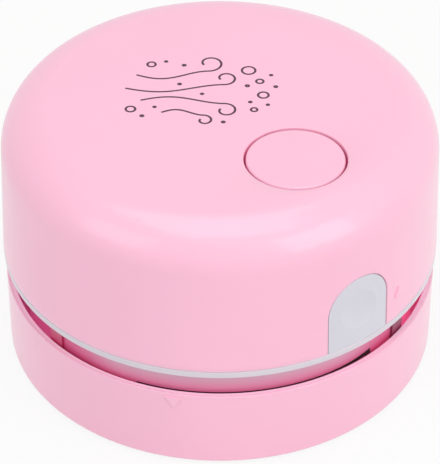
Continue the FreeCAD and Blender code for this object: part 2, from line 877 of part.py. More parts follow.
def make_fan():
    """Fan housing with the bayonet's upper lugs, its inlet plate, gasket, screws and impeller."""
    wall = tube("housing_wall", "housing_outer", "housing_inner", "housing_low", "deck_under")
    solids = [wall]
    holes = []
    for turn_angle in OPPOSITE:
        tag = "_%d" % turn_angle
        centre = "lug_centre + %d" % turn_angle
        lug_ends = ("housing_lug_top - lug_thickness", "housing_lug_top")
        lug_radii = ("housing_lug_outer", "housing_outer - 0.3")
        solids.append(arc_wall("housing_lug" + tag, *lug_radii, *lug_ends, centre, "lug_sweep"))
        stop_centre = "%s - (lug_sweep + stop_sweep) / 2 - 1" % centre
        stop_ends = ("housing_lug_top - lug_thickness", "collar_top - slide_gap")
        solids.append(arc_wall("housing_stop" + tag, *lug_radii, *stop_ends, stop_centre, "stop_sweep"))
        holes.append(
            arc_wall(
                "housing_window" + tag,
                "housing_outer + 0.3",
                "housing_inner - 0.5",
                "housing_low + 0.8",
                "deck_under - 0.8",
                "exhaust_centre + %d" % turn_angle,
                "exhaust_sweep - 4",
            )
        )
    plate_holes = [cylinder("fan_eye", "inlet_radius", "inlet_low - 1", "housing_low + 1")]
    screws = []
    for index, angle in enumerate(fan_screw_angles()):
        x, y = round_x("fan_boss_circle", angle), round_y("fan_boss_circle", angle)
        solids.append(cylinder("fan_boss_%d" % index, "fan_boss_radius", "housing_low", "deck_under", x, y))
        holes.append(screw_hole("fan_hole_%d" % index, x, y, "housing_low - 1", "deck_under + 1"))
        seat = "inlet_low + screw_head_height"
        plate_holes.append(screw_hole("plate_hole_%d" % index, x, y, "inlet_low - 1", "housing_low + 1"))
        plate_holes.append(sink("plate_sink_%d" % index, x, y, "inlet_low - 1", seat))
        screws.append(screw("fan_screw_%d" % index, x, y, seat, "fan_depth + lip_thickness / 2", up=False))
    keep("fan_housing", cut("fan_housing", fuse("housing_solid", *solids), *holes))
    plate = cylinder("inlet_disc", "housing_outer", "inlet_low", "housing_low")
    keep("fan_inlet_plate", cut("fan_inlet_plate", plate, *plate_holes))
    keep("fan_screws", group("fan_screws", *screws))
    gasket_radii = ("housing_outer", "housing_outer - gasket_width")
    keep("filter_gasket", tube("filter_gasket", *gasket_radii, "gasket_low", "inlet_low"))
    make_impeller()


def make_impeller():
    """Fan wheel: a hub, a back disc and curved blades."""
    disc = cylinder("impeller_disc", "impeller_radius", "impeller_top - impeller_disc", "impeller_top")
    hub = cylinder("impeller_hub", "hub_radius", "impeller_low", "impeller_top")
    blades = []
    count = int(number("blade_count"))
    for index in range(count):
        blades.append(blade(index, count))
    bore = cylinder("impeller_bore", "shaft_radius + 0.02", "impeller_low - 1", "impeller_top + 1")
    keep("impeller", cut("impeller", fuse("impeller_solid", disc, hub, *blades), bore))


def blade(index, count):
    """Curved blade from the hub to the rim: a stretch of a tube whose axis stands beside the shaft."""
    spread = "blade_centre^2 + blade_curve^2"
    root = "acos((%s - (hub_radius - 0.5)^2) / (2 * blade_centre * blade_curve)) / 1 deg" % spread
    tip = "acos((%s - (impeller_radius - 0.3)^2) / (2 * blade_centre * blade_curve)) / 1 deg" % spread
    ends = ("impeller_low", "impeller_top - impeller_disc / 2")
    outer = "blade_curve + blade_thickness / 2"
    inner = "blade_curve - blade_thickness / 2"
    outside = cylinder("blade_outside_%d" % index, outer, *ends, x="blade_centre")
    bind(outside, Angle="%s - %s" % (tip, root))
    turn(outside, "180 + %s" % root)
    inside = cylinder("blade_inside_%d" % index, inner, *ends, x="blade_centre")
    wall = cut("blade_%d" % index, outside, inside)
    wall.Placement.Rotation = FreeCAD.Rotation(UP, 360.0 * index / count)
    return wall


# --- motor ---------------------------------------------------------------------------------------


def motor_section(name, radius, flat, low, high):
    """Round prism with two flats, the section of a small toy motor."""
    round_part = cylinder(name + "_round", radius, low, high)
    slab = box(name + "_slab", both(flat), both("%s + 1" % radius), (low, high))
    return common(name, round_part, slab)


def make_motor():
    """Upright motor: can, end cap, terminals, bushes, magnets, rotor pieces and its cradle."""
    inside = ("motor_radius - motor_wall", "motor_flat - motor_wall")
    skin = fuse(
        "can_skin",
        motor_section("can_outside", "motor_radius", "motor_flat", "lip_top", "motor_top"),
        cylinder("can_boss", "motor_boss", "deck_under", "lip_top + motor_wall / 2"),
    )
    hollow = motor_section("can_inside", *inside, "lip_top + motor_wall", "motor_top + 1")
    nose = cylinder("can_nose_hole", "bush_radius + screw_gap", "deck_under - 1", "lip_top + 2")
    keep("motor_can", cut("motor_can", skin, hollow, nose))
    cap_low = "motor_top - end_cap_thickness"
    cap = motor_section("cap_disc", *("%s - screw_gap" % half for half in inside), cap_low, "motor_top")
    cap_holes = [cylinder("cap_bush_hole", "bush_radius + screw_gap", "%s - 1" % cap_low, "motor_top + 1")]
    terminals = []
    for index, way in enumerate((-1, 1)):
        place = "%d * terminal_offset" % way
        terminals.append(
            box(
                "terminal_%d" % index,
                both("terminal_width / 2"),
                ("%s - 0.25" % place, "%s + 0.25" % place),
                ("motor_top", "motor_top + terminal_height"),
            )
        )
    keep("motor_end_cap", cut("motor_end_cap", cap, *cap_holes))
    keep("motor_terminals", group("motor_terminals", *terminals))
    bush_radii = ("bush_radius", "shaft_radius + shaft_gap")
    low = "deck_under + screw_gap"
    keep("motor_bush_lower", tube("motor_bush_lower", *bush_radii, low, "%s + bush_length" % low))
    keep("motor_bush_upper", tube("motor_bush_upper", *bush_radii, "motor_top - bush_length", "motor_top"))
    make_magnets()
    make_rotor()
    make_cradle()


def make_magnets():
    """Two arc magnets on the round sides of the can."""
    magnets = []
    middle = "lip_top + motor_length / 2"
    ends = ("%s - armature_length / 2 - 0.8" % middle, "%s + armature_length / 2 + 0.8" % middle)
    outer = "motor_radius - motor_wall"
    for turn_angle in OPPOSITE:
        name = "magnet_%d" % turn_angle
        inner = "%s - magnet_thickness" % outer
        magnets.append(arc_wall(name, outer, inner, *ends, str(turn_angle), "magnet_sweep"))
    keep("motor_magnets", group("motor_magnets", *magnets))


def make_rotor():
    """Shaft with the three-pole armature core, its windings and the commutator."""
    middle = "lip_top + motor_length / 2"
    low = "%s - armature_length / 2" % middle
    high = "%s + armature_length / 2" % middle
    keep("motor_shaft", cylinder("motor_shaft", "shaft_radius", "shaft_low", "motor_top + 0.6"))
    bore = ("shaft_radius + 0.02", "%s - 3" % low, "%s + 9" % high)
    poles = [cylinder("core_hub", "armature_radius * 0.42", low, high)]
    windings = []
    for index in range(3):
        angle = 120 * index
        shoe = ("armature_radius", "armature_radius - pole_shoe", low, high, str(angle), "pole_sweep")
        poles.append(arc_wall("pole_shoe_%d" % index, *shoe))
        neck_reach = ("-(armature_radius - pole_shoe / 2)", "0")
        neck = box("pole_neck_%d" % index, both("pole_neck / 2"), neck_reach, (low, high))
        neck_turned = group("pole_neck_turned_%d" % index, neck)
        neck_turned.Placement.Rotation = FreeCAD.Rotation(UP, angle)
        poles.append(neck_turned)
        reach = ("-(armature_radius - pole_shoe - winding_gap)", "-armature_radius * 0.46")
        tall = ("%s - winding_width" % low, "%s + winding_width" % high)
        bundle = box("coil_bundle_%d" % index, both("pole_neck / 2 + winding_width"), reach, tall)
        slot_reach = ("-armature_radius", "0")
        slot = box("coil_slot_%d" % index, both("pole_neck / 2 + screw_gap"), slot_reach, (low, high))
        winding = cut("coil_%d" % index, bundle, slot)
        winding.Placement.Rotation = FreeCAD.Rotation(UP, angle)
        windings.append(winding)
    keep("armature_core", cut("armature_core", fuse("core_solid", *poles), cylinder("core_bore", *bore)))
    keep("armature_windings", group("armature_windings", *windings))
    ring_ends = ("%s + 1.2" % high, "motor_top - bush_length - 0.4")
    keep("commutator", tube("commutator", "armature_radius * 0.36", "shaft_radius + 0.02", *ring_ends))


def make_cradle():
    """Holder that clasps the motor's lower half and is screwed to the deck."""
    high = "lip_top + cradle_height"
    outer_y = "motor_radius + cradle_wall"
    outer_x = "motor_flat + cradle_wall"
    block = box("cradle_block", both(outer_x), both(outer_y), ("lip_top", high))
    ear_y = "%s + cradle_ear" % outer_y
    ear_ends = ("lip_top", "lip_top + ear_thickness")
    ears = box("cradle_ears", both("screw_head_radius + 1"), both(ear_y), ear_ends)
    bore = ("motor_radius + screw_gap", "motor_flat + screw_gap", "lip_top - 1", "%s + 1" % high)
    holes = [motor_section("cradle_bore", *bore)]
    screws = []
    for index, (x, y) in enumerate(cradle_screw_places()):
        holes.append(screw_hole("cradle_hole_%d" % index, x, y, "lip_top - 1", "lip_top + 2 * ear_thickness"))
        length = "ear_thickness + lip_thickness - 2 * screw_gap"
        screws.append(screw("cradle_screw_%d" % index, x, y, "lip_top + ear_thickness", length))
    keep("motor_cradle", cut("motor_cradle", fuse("cradle_solid", block, ears), *holes))
    keep("cradle_screws", group("cradle_screws", *screws))


# --- batteries -----------------------------------------------------------------------------------


def across(side, near, far):
    """Pair of X formulas on one side of the body, lower first."""
    return ordered("%d * (%s)" % (SIDES[side], near), "%d * (%s)" % (SIDES[side], far))


def make_battery(side, way):
    """AA cell that lies along Y, its nub towards the front (way -1) or the back (way 1)."""
    sign = SIDES[side]
    x = "%d * cell_x" % sign
    nub_end = "bay_half - contact_thickness"
    body_end = "%s - cell_nub_length" % nub_end
    tail = "%s - cell_length" % nub_end
    ends = ordered("%d * (%s)" % (way, body_end), "%d * (%s)" % (way, tail))
    nub_ends = ordered("%d * (%s)" % (way, body_end), "%d * (%s)" % (way, nub_end))
    name = "battery_" + side
    case = lying(name + "_case", "cell_radius", *ends, "Y", x=x, z="cell_axis")
    nub = lying(name + "_nub", "cell_nub_radius", *nub_ends, "Y", x=x, z="cell_axis")
    keep(name, fuse(name, case, nub))


def make_tray(side):
    """Battery tray: floor, two side walls, two end walls and saddle ribs under the cell."""
    name = "battery_tray_" + side
    floor_ends = ("lip_top", "lip_top + tray_floor")
    wall_top = "lip_top + tray_floor + tray_rise"
    end_y = "bay_half + tray_wall"
    side_y = ("-tray_side_length / 2", "tray_side_length / 2")
    end_x = across(side, "tray_inner_x", "tray_end_x")
    full_x = across(side, "tray_inner_x", "tray_outer_x")
    inner_x = across(side, "tray_inner_x", "tray_inner_x + tray_wall")
    outer_x = across(side, "tray_outer_x - tray_wall", "tray_outer_x")
    solids = [
        box(name + "_floor", end_x, both(end_y), floor_ends),
        box(name + "_ledge", full_x, side_y, floor_ends),
        box(name + "_inner_wall", inner_x, side_y, ("lip_top", wall_top)),
        box(name + "_outer_wall", outer_x, side_y, ("lip_top", wall_top)),
    ]
    for index, way in enumerate((-1, 1)):
        span = ordered("%d * bay_half" % way, "%d * (%s)" % (way, end_y))
        height = ("lip_top", "cell_axis + contact_height / 2 + contact_thickness")
        solids.append(box("%s_end_%d" % (name, index), end_x, span, height))
    for index in range(3):
        place = "%d * tray_side_length * 0.42" % (index - 1)
        span = ("%s - tray_wall / 2" % place, "%s + tray_wall / 2" % place)
        height = ("lip_top", "lip_top + tray_floor + saddle_rise")
        solids.append(box("%s_saddle_%d" % (name, index), full_x, span, height))
    round_inside = cylinder(name + "_round", "spigot_inner - slide_gap", "lip_top - 1", "roof_under")
    sign = SIDES[side]
    middle = "%d * cell_x" % sign
    hollow = ("cell_radius + screw_gap", "-bay_half", "bay_half", "Y")
    holes = [lying(name + "_hollow", *hollow, x=middle, z="cell_axis")]
    through = ("lip_top - 1", "lip_top + 3")
    for index, (screw_x, screw_y) in enumerate(tray_screw_places()):
        if number(screw_x) * sign > 0:
            holes.append(screw_hole("%s_hole_%d" % (name, index), screw_x, screw_y, *through))
    trimmed = common(name + "_trimmed", fuse(name + "_solid", *solids), round_inside)
    keep(name, cut(name, trimmed, *holes))


def make_power():
    """Two AA cells, their trays, screws, contact plates, the bridge plate and the contact springs."""
    for side, way in (("left", -1), ("right", 1)):
        make_battery(side, way)
        make_tray(side)
    length = "tray_floor + lip_thickness - 2 * screw_gap"
    screws = [
        screw("tray_screw_%d" % index, x, y, "lip_top + tray_floor", length)
        for index, (x, y) in enumerate(tray_screw_places())
    ]
    keep("tray_screws", group("tray_screws", *screws))
    height = ("cell_axis - contact_height / 2", "cell_axis + contact_height / 2")
    front = ("-bay_half", "-bay_half + contact_thickness")
    back = ("bay_half - contact_thickness", "bay_half")
    edges = ("cell_x - contact_width / 2", "cell_x + contact_width / 2")
    plates = [box("contact_" + side, across(side, *edges), front, height) for side in SIDES]
    keep("contact_plates", group("contact_plates", *plates))
    keep("contact_bridge", box("contact_bridge", both(edges[1]), back, height))
    springs = []
    for side, way in (("left", 1), ("right", -1)):
        pitch = "(spring_room - 3 * contact_wire) / contact_turns"
        spring = coil("cell_spring_" + side, "cell_nub_radius", "contact_wire", pitch, "contact_turns")
        spring.Placement.Rotation = ALONG_Y
        start = "bay_half - contact_thickness - spring_room + 1.5 * contact_wire"
        if way < 0:
            start = "-bay_half + contact_thickness + 1.5 * contact_wire"
        springs.append(move(spring, "%d * cell_x" % SIDES[side], start, "cell_axis"))
    keep("contact_springs", group("contact_springs", *springs))


# --- switch and leads ----------------------------------------------------------------------------


def make_switch():
    """Push switch under the button, its plunger, its board and the board's screws."""
    y = "-button_offset"
    wide = both("board_half_width")
    deep = ("%s - board_half_depth" % y, "%s + board_half_depth" % y)
    board = box("board_slab", wide, deep, ("board_low", "board_top"))
    holes = []
    screws = []
    for index, (place_x, place_y) in enumerate(board_posts()):
        if index in (0, 3):
            place = (place_x, place_y)
            holes.append(screw_hole("board_hole_%d" % index, *place, "board_low - 1", "board_top + 1"))
            screws.append(screw("board_screw_%d" % index, *place, "board_top", "board_thickness + 2"))
    keep("switch_board", cut("switch_board", board, *holes))
    keep("board_screws", group("board_screws", *screws))
    half = "switch_width / 2"
    case = box(
        "switch_case",
        both(half),
        ("%s - %s" % (y, half), "%s + %s" % (y, half)),
        ("board_top", "switch_top"),
    )
    bore_low = "switch_top - plunger_hidden - button_travel - slide_gap"
    bore = cylinder("switch_bore", "plunger_radius + plunger_gap", bore_low, "switch_top + 1", y=y)
    keep("switch_body", cut("switch_body", case, bore))
    plunger_ends = ("switch_top - plunger_hidden", "plunger_top")
    keep("switch_plunger", cylinder("switch_plunger", "plunger_radius", *plunger_ends, y=y))


def point(x, y, z):
    """Point from three formulas."""
    return FreeCAD.Vector(number(x), number(y), number(z))


def make_leads():
    """Leads: battery to board, board to motor, and motor back to battery."""
    high = "motor_top + terminal_height / 2"
    radius = number("lead_radius")
    plate_edge = "cell_x - contact_width / 2"
    plate_y = "-bay_half + contact_thickness + lead_radius - 0.16"
    beside = "motor_flat + cradle_wall"
    behind_switch = "-button_offset + switch_width / 2 + lead_radius + 0.7"
    routes = {
        "wire_switch": [
            point("2.2", behind_switch, "board_top"),
            point("2.2", behind_switch, "board_top + 4.4"),
            point("%s - 0.1" % beside, "-motor_radius - 2.8", "lip_top + cradle_height + 1"),
            point("%s + 0.6" % beside, "-motor_radius + 2.7", "lip_top + cradle_height + 8"),
            point("%s - 0.2" % beside, "-motor_radius + 4.2", "motor_top + 1.5"),
            point("terminal_width / 2 + lead_end", "-terminal_offset", high),
        ],
        "wire_return": [
            point("-(%s)" % plate_edge, plate_y, "cell_axis + contact_height / 3"),
            point("-(%s)" % beside, "%s + 0.1" % plate_y, "cell_axis + contact_height / 3 + 0.4"),
            point("-(%s) + 0.4" % beside, "-button_offset + 4.7", "cell_axis + cell_radius - 1.4"),
            point("-(%s)" % beside, "-motor_radius + 1.2", "cell_axis + cell_radius + 1.6"),
            point("-(%s) - 0.6" % beside, "1", "motor_top - 2.2"),
            point("-(%s) + 0.4" % beside, "terminal_offset - 2", "motor_top + 1.5"),
            point("-terminal_width / 2 - lead_end", "terminal_offset", high),
        ],
        "wire_battery": [
            point(plate_edge, plate_y, "cell_axis - contact_height / 3"),
            point("board_half_width + 1.4", "%s + 0.2" % plate_y, "cell_axis - contact_height / 3 + 0.8"),
            point("board_half_width - 1.6", "-button_offset - 1.5", "board_top + 2.6"),
            point("board_half_width - 2", "-button_offset + 0.7", "board_top + 2.4"),
            point("board_half_width - 2", "-button_offset + 0.7", "board_top"),
        ],
    }
    for name, points in routes.items():
        keep(name, lead(name, points, radius))


# --- build, check and write ----------------------------------------------------------------------


def main():
    """Builds every sub-part, checks it and writes it."""
    make_cover()
    make_button()
    make_chassis()
    make_cup()
    make_nozzle()
    make_filter()
    make_fan()
    make_motor()
    make_power()
    make_switch()
    make_leads()
    doc.recompute()
    failed = [thing.Name for thing in doc.Objects if {"Invalid", "Error"} & set(thing.State)]
    for part in parts:
        if part.Shape.isNull() or not part.Shape.isValid() or not part.Shape.Solids:
            failed.append(part.Label)
    if failed:
        raise RuntimeError("not built: " + ", ".join(failed))
    os.makedirs("parts", exist_ok=True)
    for part in parts:
        part.Shape.exportStep("parts/%s.step" % part.Label)
        print("%-20s %2d solid(s) %10.2f mm3" % (part.Label, len(part.Shape.Solids), part.Shape.Volume))


main()
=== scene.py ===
"""Desk crumb cleaner: the finishes and fine shapes of a round, battery-driven table vacuum.

Everything is in metres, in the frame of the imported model: +Z up, the floor at z = 0, the axis of the
drum on Z, and the arch-shaped tab and the push button at the front, towards -Y.
"""

import json
import logging
import math
from dataclasses import dataclass
from enum import Enum
from functools import reduce
from typing import Callable, Iterable, Iterator, Sequence

import bmesh
import bpy
from mathutils import Matrix, Vector

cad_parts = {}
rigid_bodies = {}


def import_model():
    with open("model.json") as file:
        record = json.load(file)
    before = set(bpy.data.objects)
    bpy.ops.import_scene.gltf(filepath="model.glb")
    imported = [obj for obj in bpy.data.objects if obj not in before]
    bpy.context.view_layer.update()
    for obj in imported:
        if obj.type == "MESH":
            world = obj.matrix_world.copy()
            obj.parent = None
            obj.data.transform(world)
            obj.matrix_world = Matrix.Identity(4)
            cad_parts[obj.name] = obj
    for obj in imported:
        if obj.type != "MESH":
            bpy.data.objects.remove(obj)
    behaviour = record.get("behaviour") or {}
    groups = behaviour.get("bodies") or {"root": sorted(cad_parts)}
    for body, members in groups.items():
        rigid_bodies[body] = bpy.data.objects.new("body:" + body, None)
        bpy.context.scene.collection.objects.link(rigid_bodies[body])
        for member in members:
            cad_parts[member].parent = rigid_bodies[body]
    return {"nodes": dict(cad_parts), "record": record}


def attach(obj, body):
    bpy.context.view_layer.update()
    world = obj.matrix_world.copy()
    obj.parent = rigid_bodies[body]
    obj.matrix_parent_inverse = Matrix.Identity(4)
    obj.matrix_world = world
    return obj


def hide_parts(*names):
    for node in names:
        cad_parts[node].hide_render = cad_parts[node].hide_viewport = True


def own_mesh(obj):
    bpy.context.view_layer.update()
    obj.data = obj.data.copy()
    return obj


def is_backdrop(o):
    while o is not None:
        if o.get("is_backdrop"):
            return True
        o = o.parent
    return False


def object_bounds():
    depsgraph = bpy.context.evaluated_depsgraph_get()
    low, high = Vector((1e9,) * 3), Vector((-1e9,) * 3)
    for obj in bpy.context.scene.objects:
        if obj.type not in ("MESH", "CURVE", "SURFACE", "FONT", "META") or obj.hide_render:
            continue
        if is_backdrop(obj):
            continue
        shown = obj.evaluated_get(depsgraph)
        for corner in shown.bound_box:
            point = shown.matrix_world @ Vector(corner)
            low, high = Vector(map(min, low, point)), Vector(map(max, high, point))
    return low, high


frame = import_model()
log = logging.getLogger("desk_cleaner")

MM = 0.001
BUTTON_MIDDLE = (0.0, -22.7 * MM)
FACING = -34.2  # the middle of the frame's skirt, in degrees from -Y towards +X
NOISE_RANGE = (0.3, 0.7)  # nearly all values of a noise texture lie between these
CRISP = 0.1 * MM  # width of a sharp change between two finishes
TOUCH = MM / 1000  # points nearer than this count as one

Colour = tuple[float, float, float]
Point = tuple[float, float, float]
Pair = tuple[float, float]
Corner = tuple[float, float, float]  # distance from the axis, height, rounding
Test = Callable[[Vector], bool]
Socket = bpy.types.NodeSocket
Value = Socket | float | Point


def srgb(red: float, green: float, blue: float) -> Colour:
    """Turn a display colour, counted from 0 to 255, into the linear values that shaders take."""

    def linear(value: float) -> float:
        share = value / 255
        return share / 12.92 if share <= 0.04045 else ((share + 0.055) / 1.055) ** 2.4

    return linear(red), linear(green), linear(blue)


def scaled(colour: Colour, share: float) -> Colour:
    """Darken or lighten a linear colour by one share."""
    return tuple(min(1.0, value * share) for value in colour)


def circle(middle: Pair, radius: float, turn: float) -> Pair:
    """Give the point of a circle at a turn, in radians."""
    return middle[0] + radius * math.cos(turn), middle[1] + radius * math.sin(turn)


# --- finishes ---


class NodeBoard:
    """Node tree, with short ways to add nodes and links."""

    def __init__(self, tree: bpy.types.NodeTree) -> None:
        """Start from an empty tree."""
        self.tree = tree
        self.tree.nodes.clear()

    def add(self, kind: str, **settings: object) -> bpy.types.Node:
        """Add a node and set its own properties.

        Args:
            kind: Blender's name of the node type, without its first words.
            settings: properties of the node, by name.

        Returns:
            The new node.
        """
        node = self.tree.nodes.new("ShaderNode" + kind)
        for key, value in settings.items():
            setattr(node, key, value)
        return node

    def give(self, value: Value, target: Socket) -> None:
        """Link a socket to another, or set a plain number, place or colour on it."""
        if isinstance(value, Socket):
            self.tree.links.new(value, target)
        else:
            target.default_value = (*value, 1.0) if target.type == "RGBA" else value

    def fill(self, node: bpy.types.Node, **values: Value) -> bpy.types.Node:
        """Link or set a node's inputs by name, where an underscore stands for a space, and give it back."""
        for key, value in values.items():
            self.give(value, node.inputs[key.replace("_", " ")])
        return node

    def maths(self, operation: str, *values: Socket | float) -> Socket:
        """Work a value out of others, by Blender's name of the operation."""
        node = self.add("Math", operation=operation)
        for value, target in zip(values, node.inputs):
            self.give(value, target)
        return node.outputs["Value"]

    def times(self, *values: Socket | float) -> Socket:
        """Multiply values."""
        return reduce(lambda first, second: self.maths("MULTIPLY", first, second), values)

    def span(self, source: Socket, start: Pair, result: Pair = (0.0, 1.0), way: str = "LINEAR") -> Socket:
        """Stretch one range of values to another.

        Args:
            source: the value socket.
            start: the two ends of the range that comes in.
            result: what they become.
            way: Blender's name of the change between the ends.

        Returns:
            The socket with the new value.
        """
        node = self.add("MapRange", interpolation_type=way)
        for value, key in zip(start + result, ("From Min", "From Max", "To Min", "To Max")):
            node.inputs[key].default_value = value
        return self.fill(node, Value=source).outputs["Result"]

    def ease(self, source: Socket, low: float, high: float) -> Socket:
        """Turn a value into 0 before one end and 1 past the other, with a soft change between."""
        return self.span(source, (low, high), way="SMOOTHSTEP")

    def ramp(self, source: Socket, ends: Pair, colours: Sequence[Colour]) -> Socket:
        """Turn a value into a colour that goes from one to another between the ends."""
        node = self.add("ValToRGB")
        for element, place, colour in zip(node.color_ramp.elements, ends, colours):
            element.position = place
            element.color = (*colour, 1.0)
        return self.fill(node, Fac=source).outputs["Color"]

    def blend(self, share: Socket, under: Socket | Colour, over: Socket | Colour) -> Socket:
        """Mix two colours, where a share of 0 gives the first and 1 the second."""
        node = self.fill(self.add("Mix", data_type="RGBA"), Factor=share)
        colours = [socket for socket in node.inputs if socket.type == "RGBA"]
        for value, target in zip((under, over), colours):
            self.give(value, target)
        return next(socket for socket in node.outputs if socket.type == "RGBA")

    def mix(self, share: Socket, first: Socket, second: Socket) -> Socket:
        """Mix two shaders, where a share of 0 gives the first and 1 the second."""
        node = self.add("MixShader")
        for source, target in zip((share, first, second), node.inputs):
            self.give(source, target)
        return node.outputs["Shader"]

    def sight(self) -> Socket:
        """Give 1 where the camera looks straight, in a mirror or through glass, and 0 for other light."""
        path = self.add("LightPath")
        ways = (path.outputs[way] for way in ("Is Camera Ray", "Is Glossy Ray", "Is Transmission Ray"))
        return reduce(lambda first, second: self.maths("MAXIMUM", first, second), ways)


class FinishBoard(NodeBoard):
    """Node tree of one material, round a Principled shader."""

    def __init__(self, name: str) -> None:
        """Start the material.

        Args:
            name: name of the new material.
        """
        self.material = bpy.data.materials.new(name)
        self.material.use_nodes = True
        super().__init__(self.material.node_tree)
        self.shader = self.add("BsdfPrincipled")
        self.output = self.fill(self.add("OutputMaterial"), Surface=self.shader.outputs["BSDF"])
        self.place = self.add("TexCoord").outputs["Object"]

    def set(self, **values: Value) -> None:
        """Link or set the shader's inputs."""
        self.fill(self.shader, **values)

    def bump(self, source: Socket, depth: float) -> None:
        """Raise the surface by a value from 0 to 1, where 1 stands for the depth in metres."""
        node = self.fill(self.add("Bump"), Height=source, Distance=depth, Strength=1.0)
        self.set(Normal=node.outputs["Normal"])

    def mapped(self, **settings: Point) -> Socket:
        """Give the piece's own coordinates, moved, turned or scaled by a Mapping node's settings."""
        return self.fill(self.add("Mapping"), Vector=self.place, **settings).outputs["Vector"]

    def noise(self, scale: float, detail: float, stretch: Point = (1, 1, 1)) -> Socket:
        """Add a noise texture on the piece's own coordinates.

        Args:
            scale: number of blotches in a metre.
            detail: octaves of finer noise.
            stretch: how much finer the pattern is along each axis.

        Returns:
            The socket with the noise value, about 0.5 on average.
        """
        node = self.fill(self.add("TexNoise"), Vector=self.mapped(Scale=stretch))
        return self.fill(node, Scale=scale, Detail=detail).outputs["Fac"]

    def wear(self, noise: Socket, roughness: float, drift: Pair) -> None:
        """Let the roughness drift with a noise, between two shares of its even value."""
        least, most = drift
        self.set(Roughness=self.span(noise, NOISE_RANGE, (roughness * least, roughness * most)))

    def reach(self, centre: Pair = (0.0, 0.0)) -> Socket:
        """Give the distance from an upright axis, in metres."""
        node = self.add("VectorMath", operation="LENGTH")
        self.give(self.mapped(Location=(-centre[0], -centre[1], 0), Scale=(1, 1, 0)), node.inputs[0])
        return node.outputs["Value"]

    def along(self, axis: str, place: Socket | None = None) -> Socket:
        """Give the place along one axis, in metres, of the piece's own coordinates or of others."""
        return self.fill(self.add("SeparateXYZ"), Vector=place or self.place).outputs[axis]

    def sideways(self, azimuth: float) -> Socket:
        """Give the distance from the upright plane that holds the axis and points in a direction."""
        return self.along("X", self.mapped(Rotation=(0, 0, -math.radians(azimuth))))


@dataclass(frozen=True)
class Moulding:
    """Injection-moulded plastic: a nearly even colour with the faint waves of a polished mould."""

    name: str
    colour: Colour
    roughness: float = 0.3
    coat: float = 0.0
    coat_roughness: float = 0.035
    refraction: float = 1.5
    cloud: float = 0.012
    cloud_ends: Pair = (0.35, 0.65)
    cloud_scale: float = 28.0
    wear: Pair = (0.95, 1.05)
    wear_scale: float = 40.0
    wave_depth: float = 0.003 * MM
    wave_scale: float = 90.0

    def material(self) -> bpy.types.Material:
        """Build the finish."""
        board = FinishBoard(self.name + "_finish")
        board.set(Base_Color=self.tint(board), IOR=self.refraction)
        board.set(Coat_Weight=self.coat, Coat_Roughness=self.coat_roughness)
        board.wear(board.noise(self.wear_scale, 1.0), self.roughness, self.wear)
        board.bump(board.noise(self.wave_scale, 1.0), self.wave_depth)
        self.finish(board)
        return board.material

    def cloudy(self, board: FinishBoard, colour: Colour) -> Socket:
        """Give a colour that drifts a little from place to place."""
        colours = scaled(colour, 1 - self.cloud), scaled(colour, 1 + self.cloud)
        return board.ramp(board.noise(self.cloud_scale, 3.0), self.cloud_ends, colours)

    def tint(self, board: FinishBoard) -> Socket:
        """Give the colour socket."""
        return self.cloudy(board, self.colour)

    def finish(self, board: FinishBoard) -> None:
        """Add what a plainer moulding doesn't have."""


@dataclass(frozen=True)
class PaintedGlowShell(Moulding):
    """Pink moulding with painted shade and glow on its hidden walls: a deeper pink and an emission."""

    # painted shade and glow: the deeper pink of the hidden walls, and the colour of the glow painted on
    # them
    shade_pink: Colour = srgb(242, 150, 188)
    glow_colour: Colour = srgb(226, 78, 130)
    centre: Pair = (0.0, 0.0)
    inner: float = 41.0 * MM
    outer: float = 41.15 * MM
    low: float = 2.0 * MM
    high: float = 5.0 * MM
    top: float = 1.0
    lit_from: float = 0.0
    lit_low: float = 0.0
    lit_high: float = 1.0 * MM
    glow: float = 0.2

    def depth(self, board: FinishBoard) -> Socket:
        """Give 1 on the hidden walls, where shade and glow are painted, and 0 outside."""
        outside = board.ease(board.reach(self.centre), self.inner, self.outer)
        height = board.along("Z")
        above, below = board.ease(height, self.low, self.high), board.ease(height, self.top, self.top - MM)
        return board.times(board.maths("SUBTRACT", 1.0, outside), above, below)

    def tint(self, board: FinishBoard) -> Socket:
        """Give the pink, painted deeper on the hidden walls as painted shade."""
        colours = self.cloudy(board, self.colour), self.cloudy(board, self.shade_pink)
        return board.blend(self.depth(board), *colours)

    def finish(self, board: FinishBoard) -> None:
        """Paint a glow on the hidden walls as an emission."""
        board.set(Emission_Color=self.glow_colour, Emission_Strength=self.light(board))

    def light(self, board: FinishBoard) -> Socket:
        """Give how much painted glow comes out of the hidden walls."""
        lit = board.ease(board.reach(self.centre), self.lit_from, self.lit_from + CRISP)
        return board.times(self.depth(board), lit, self.lit_height(board), self.glow)

    def lit_height(self, board: FinishBoard) -> Socket:
        """Give 1 where the painted glow reaches down the hidden walls, and 0 below."""
        return board.ease(board.along("Z"), self.lit_low, self.lit_high)


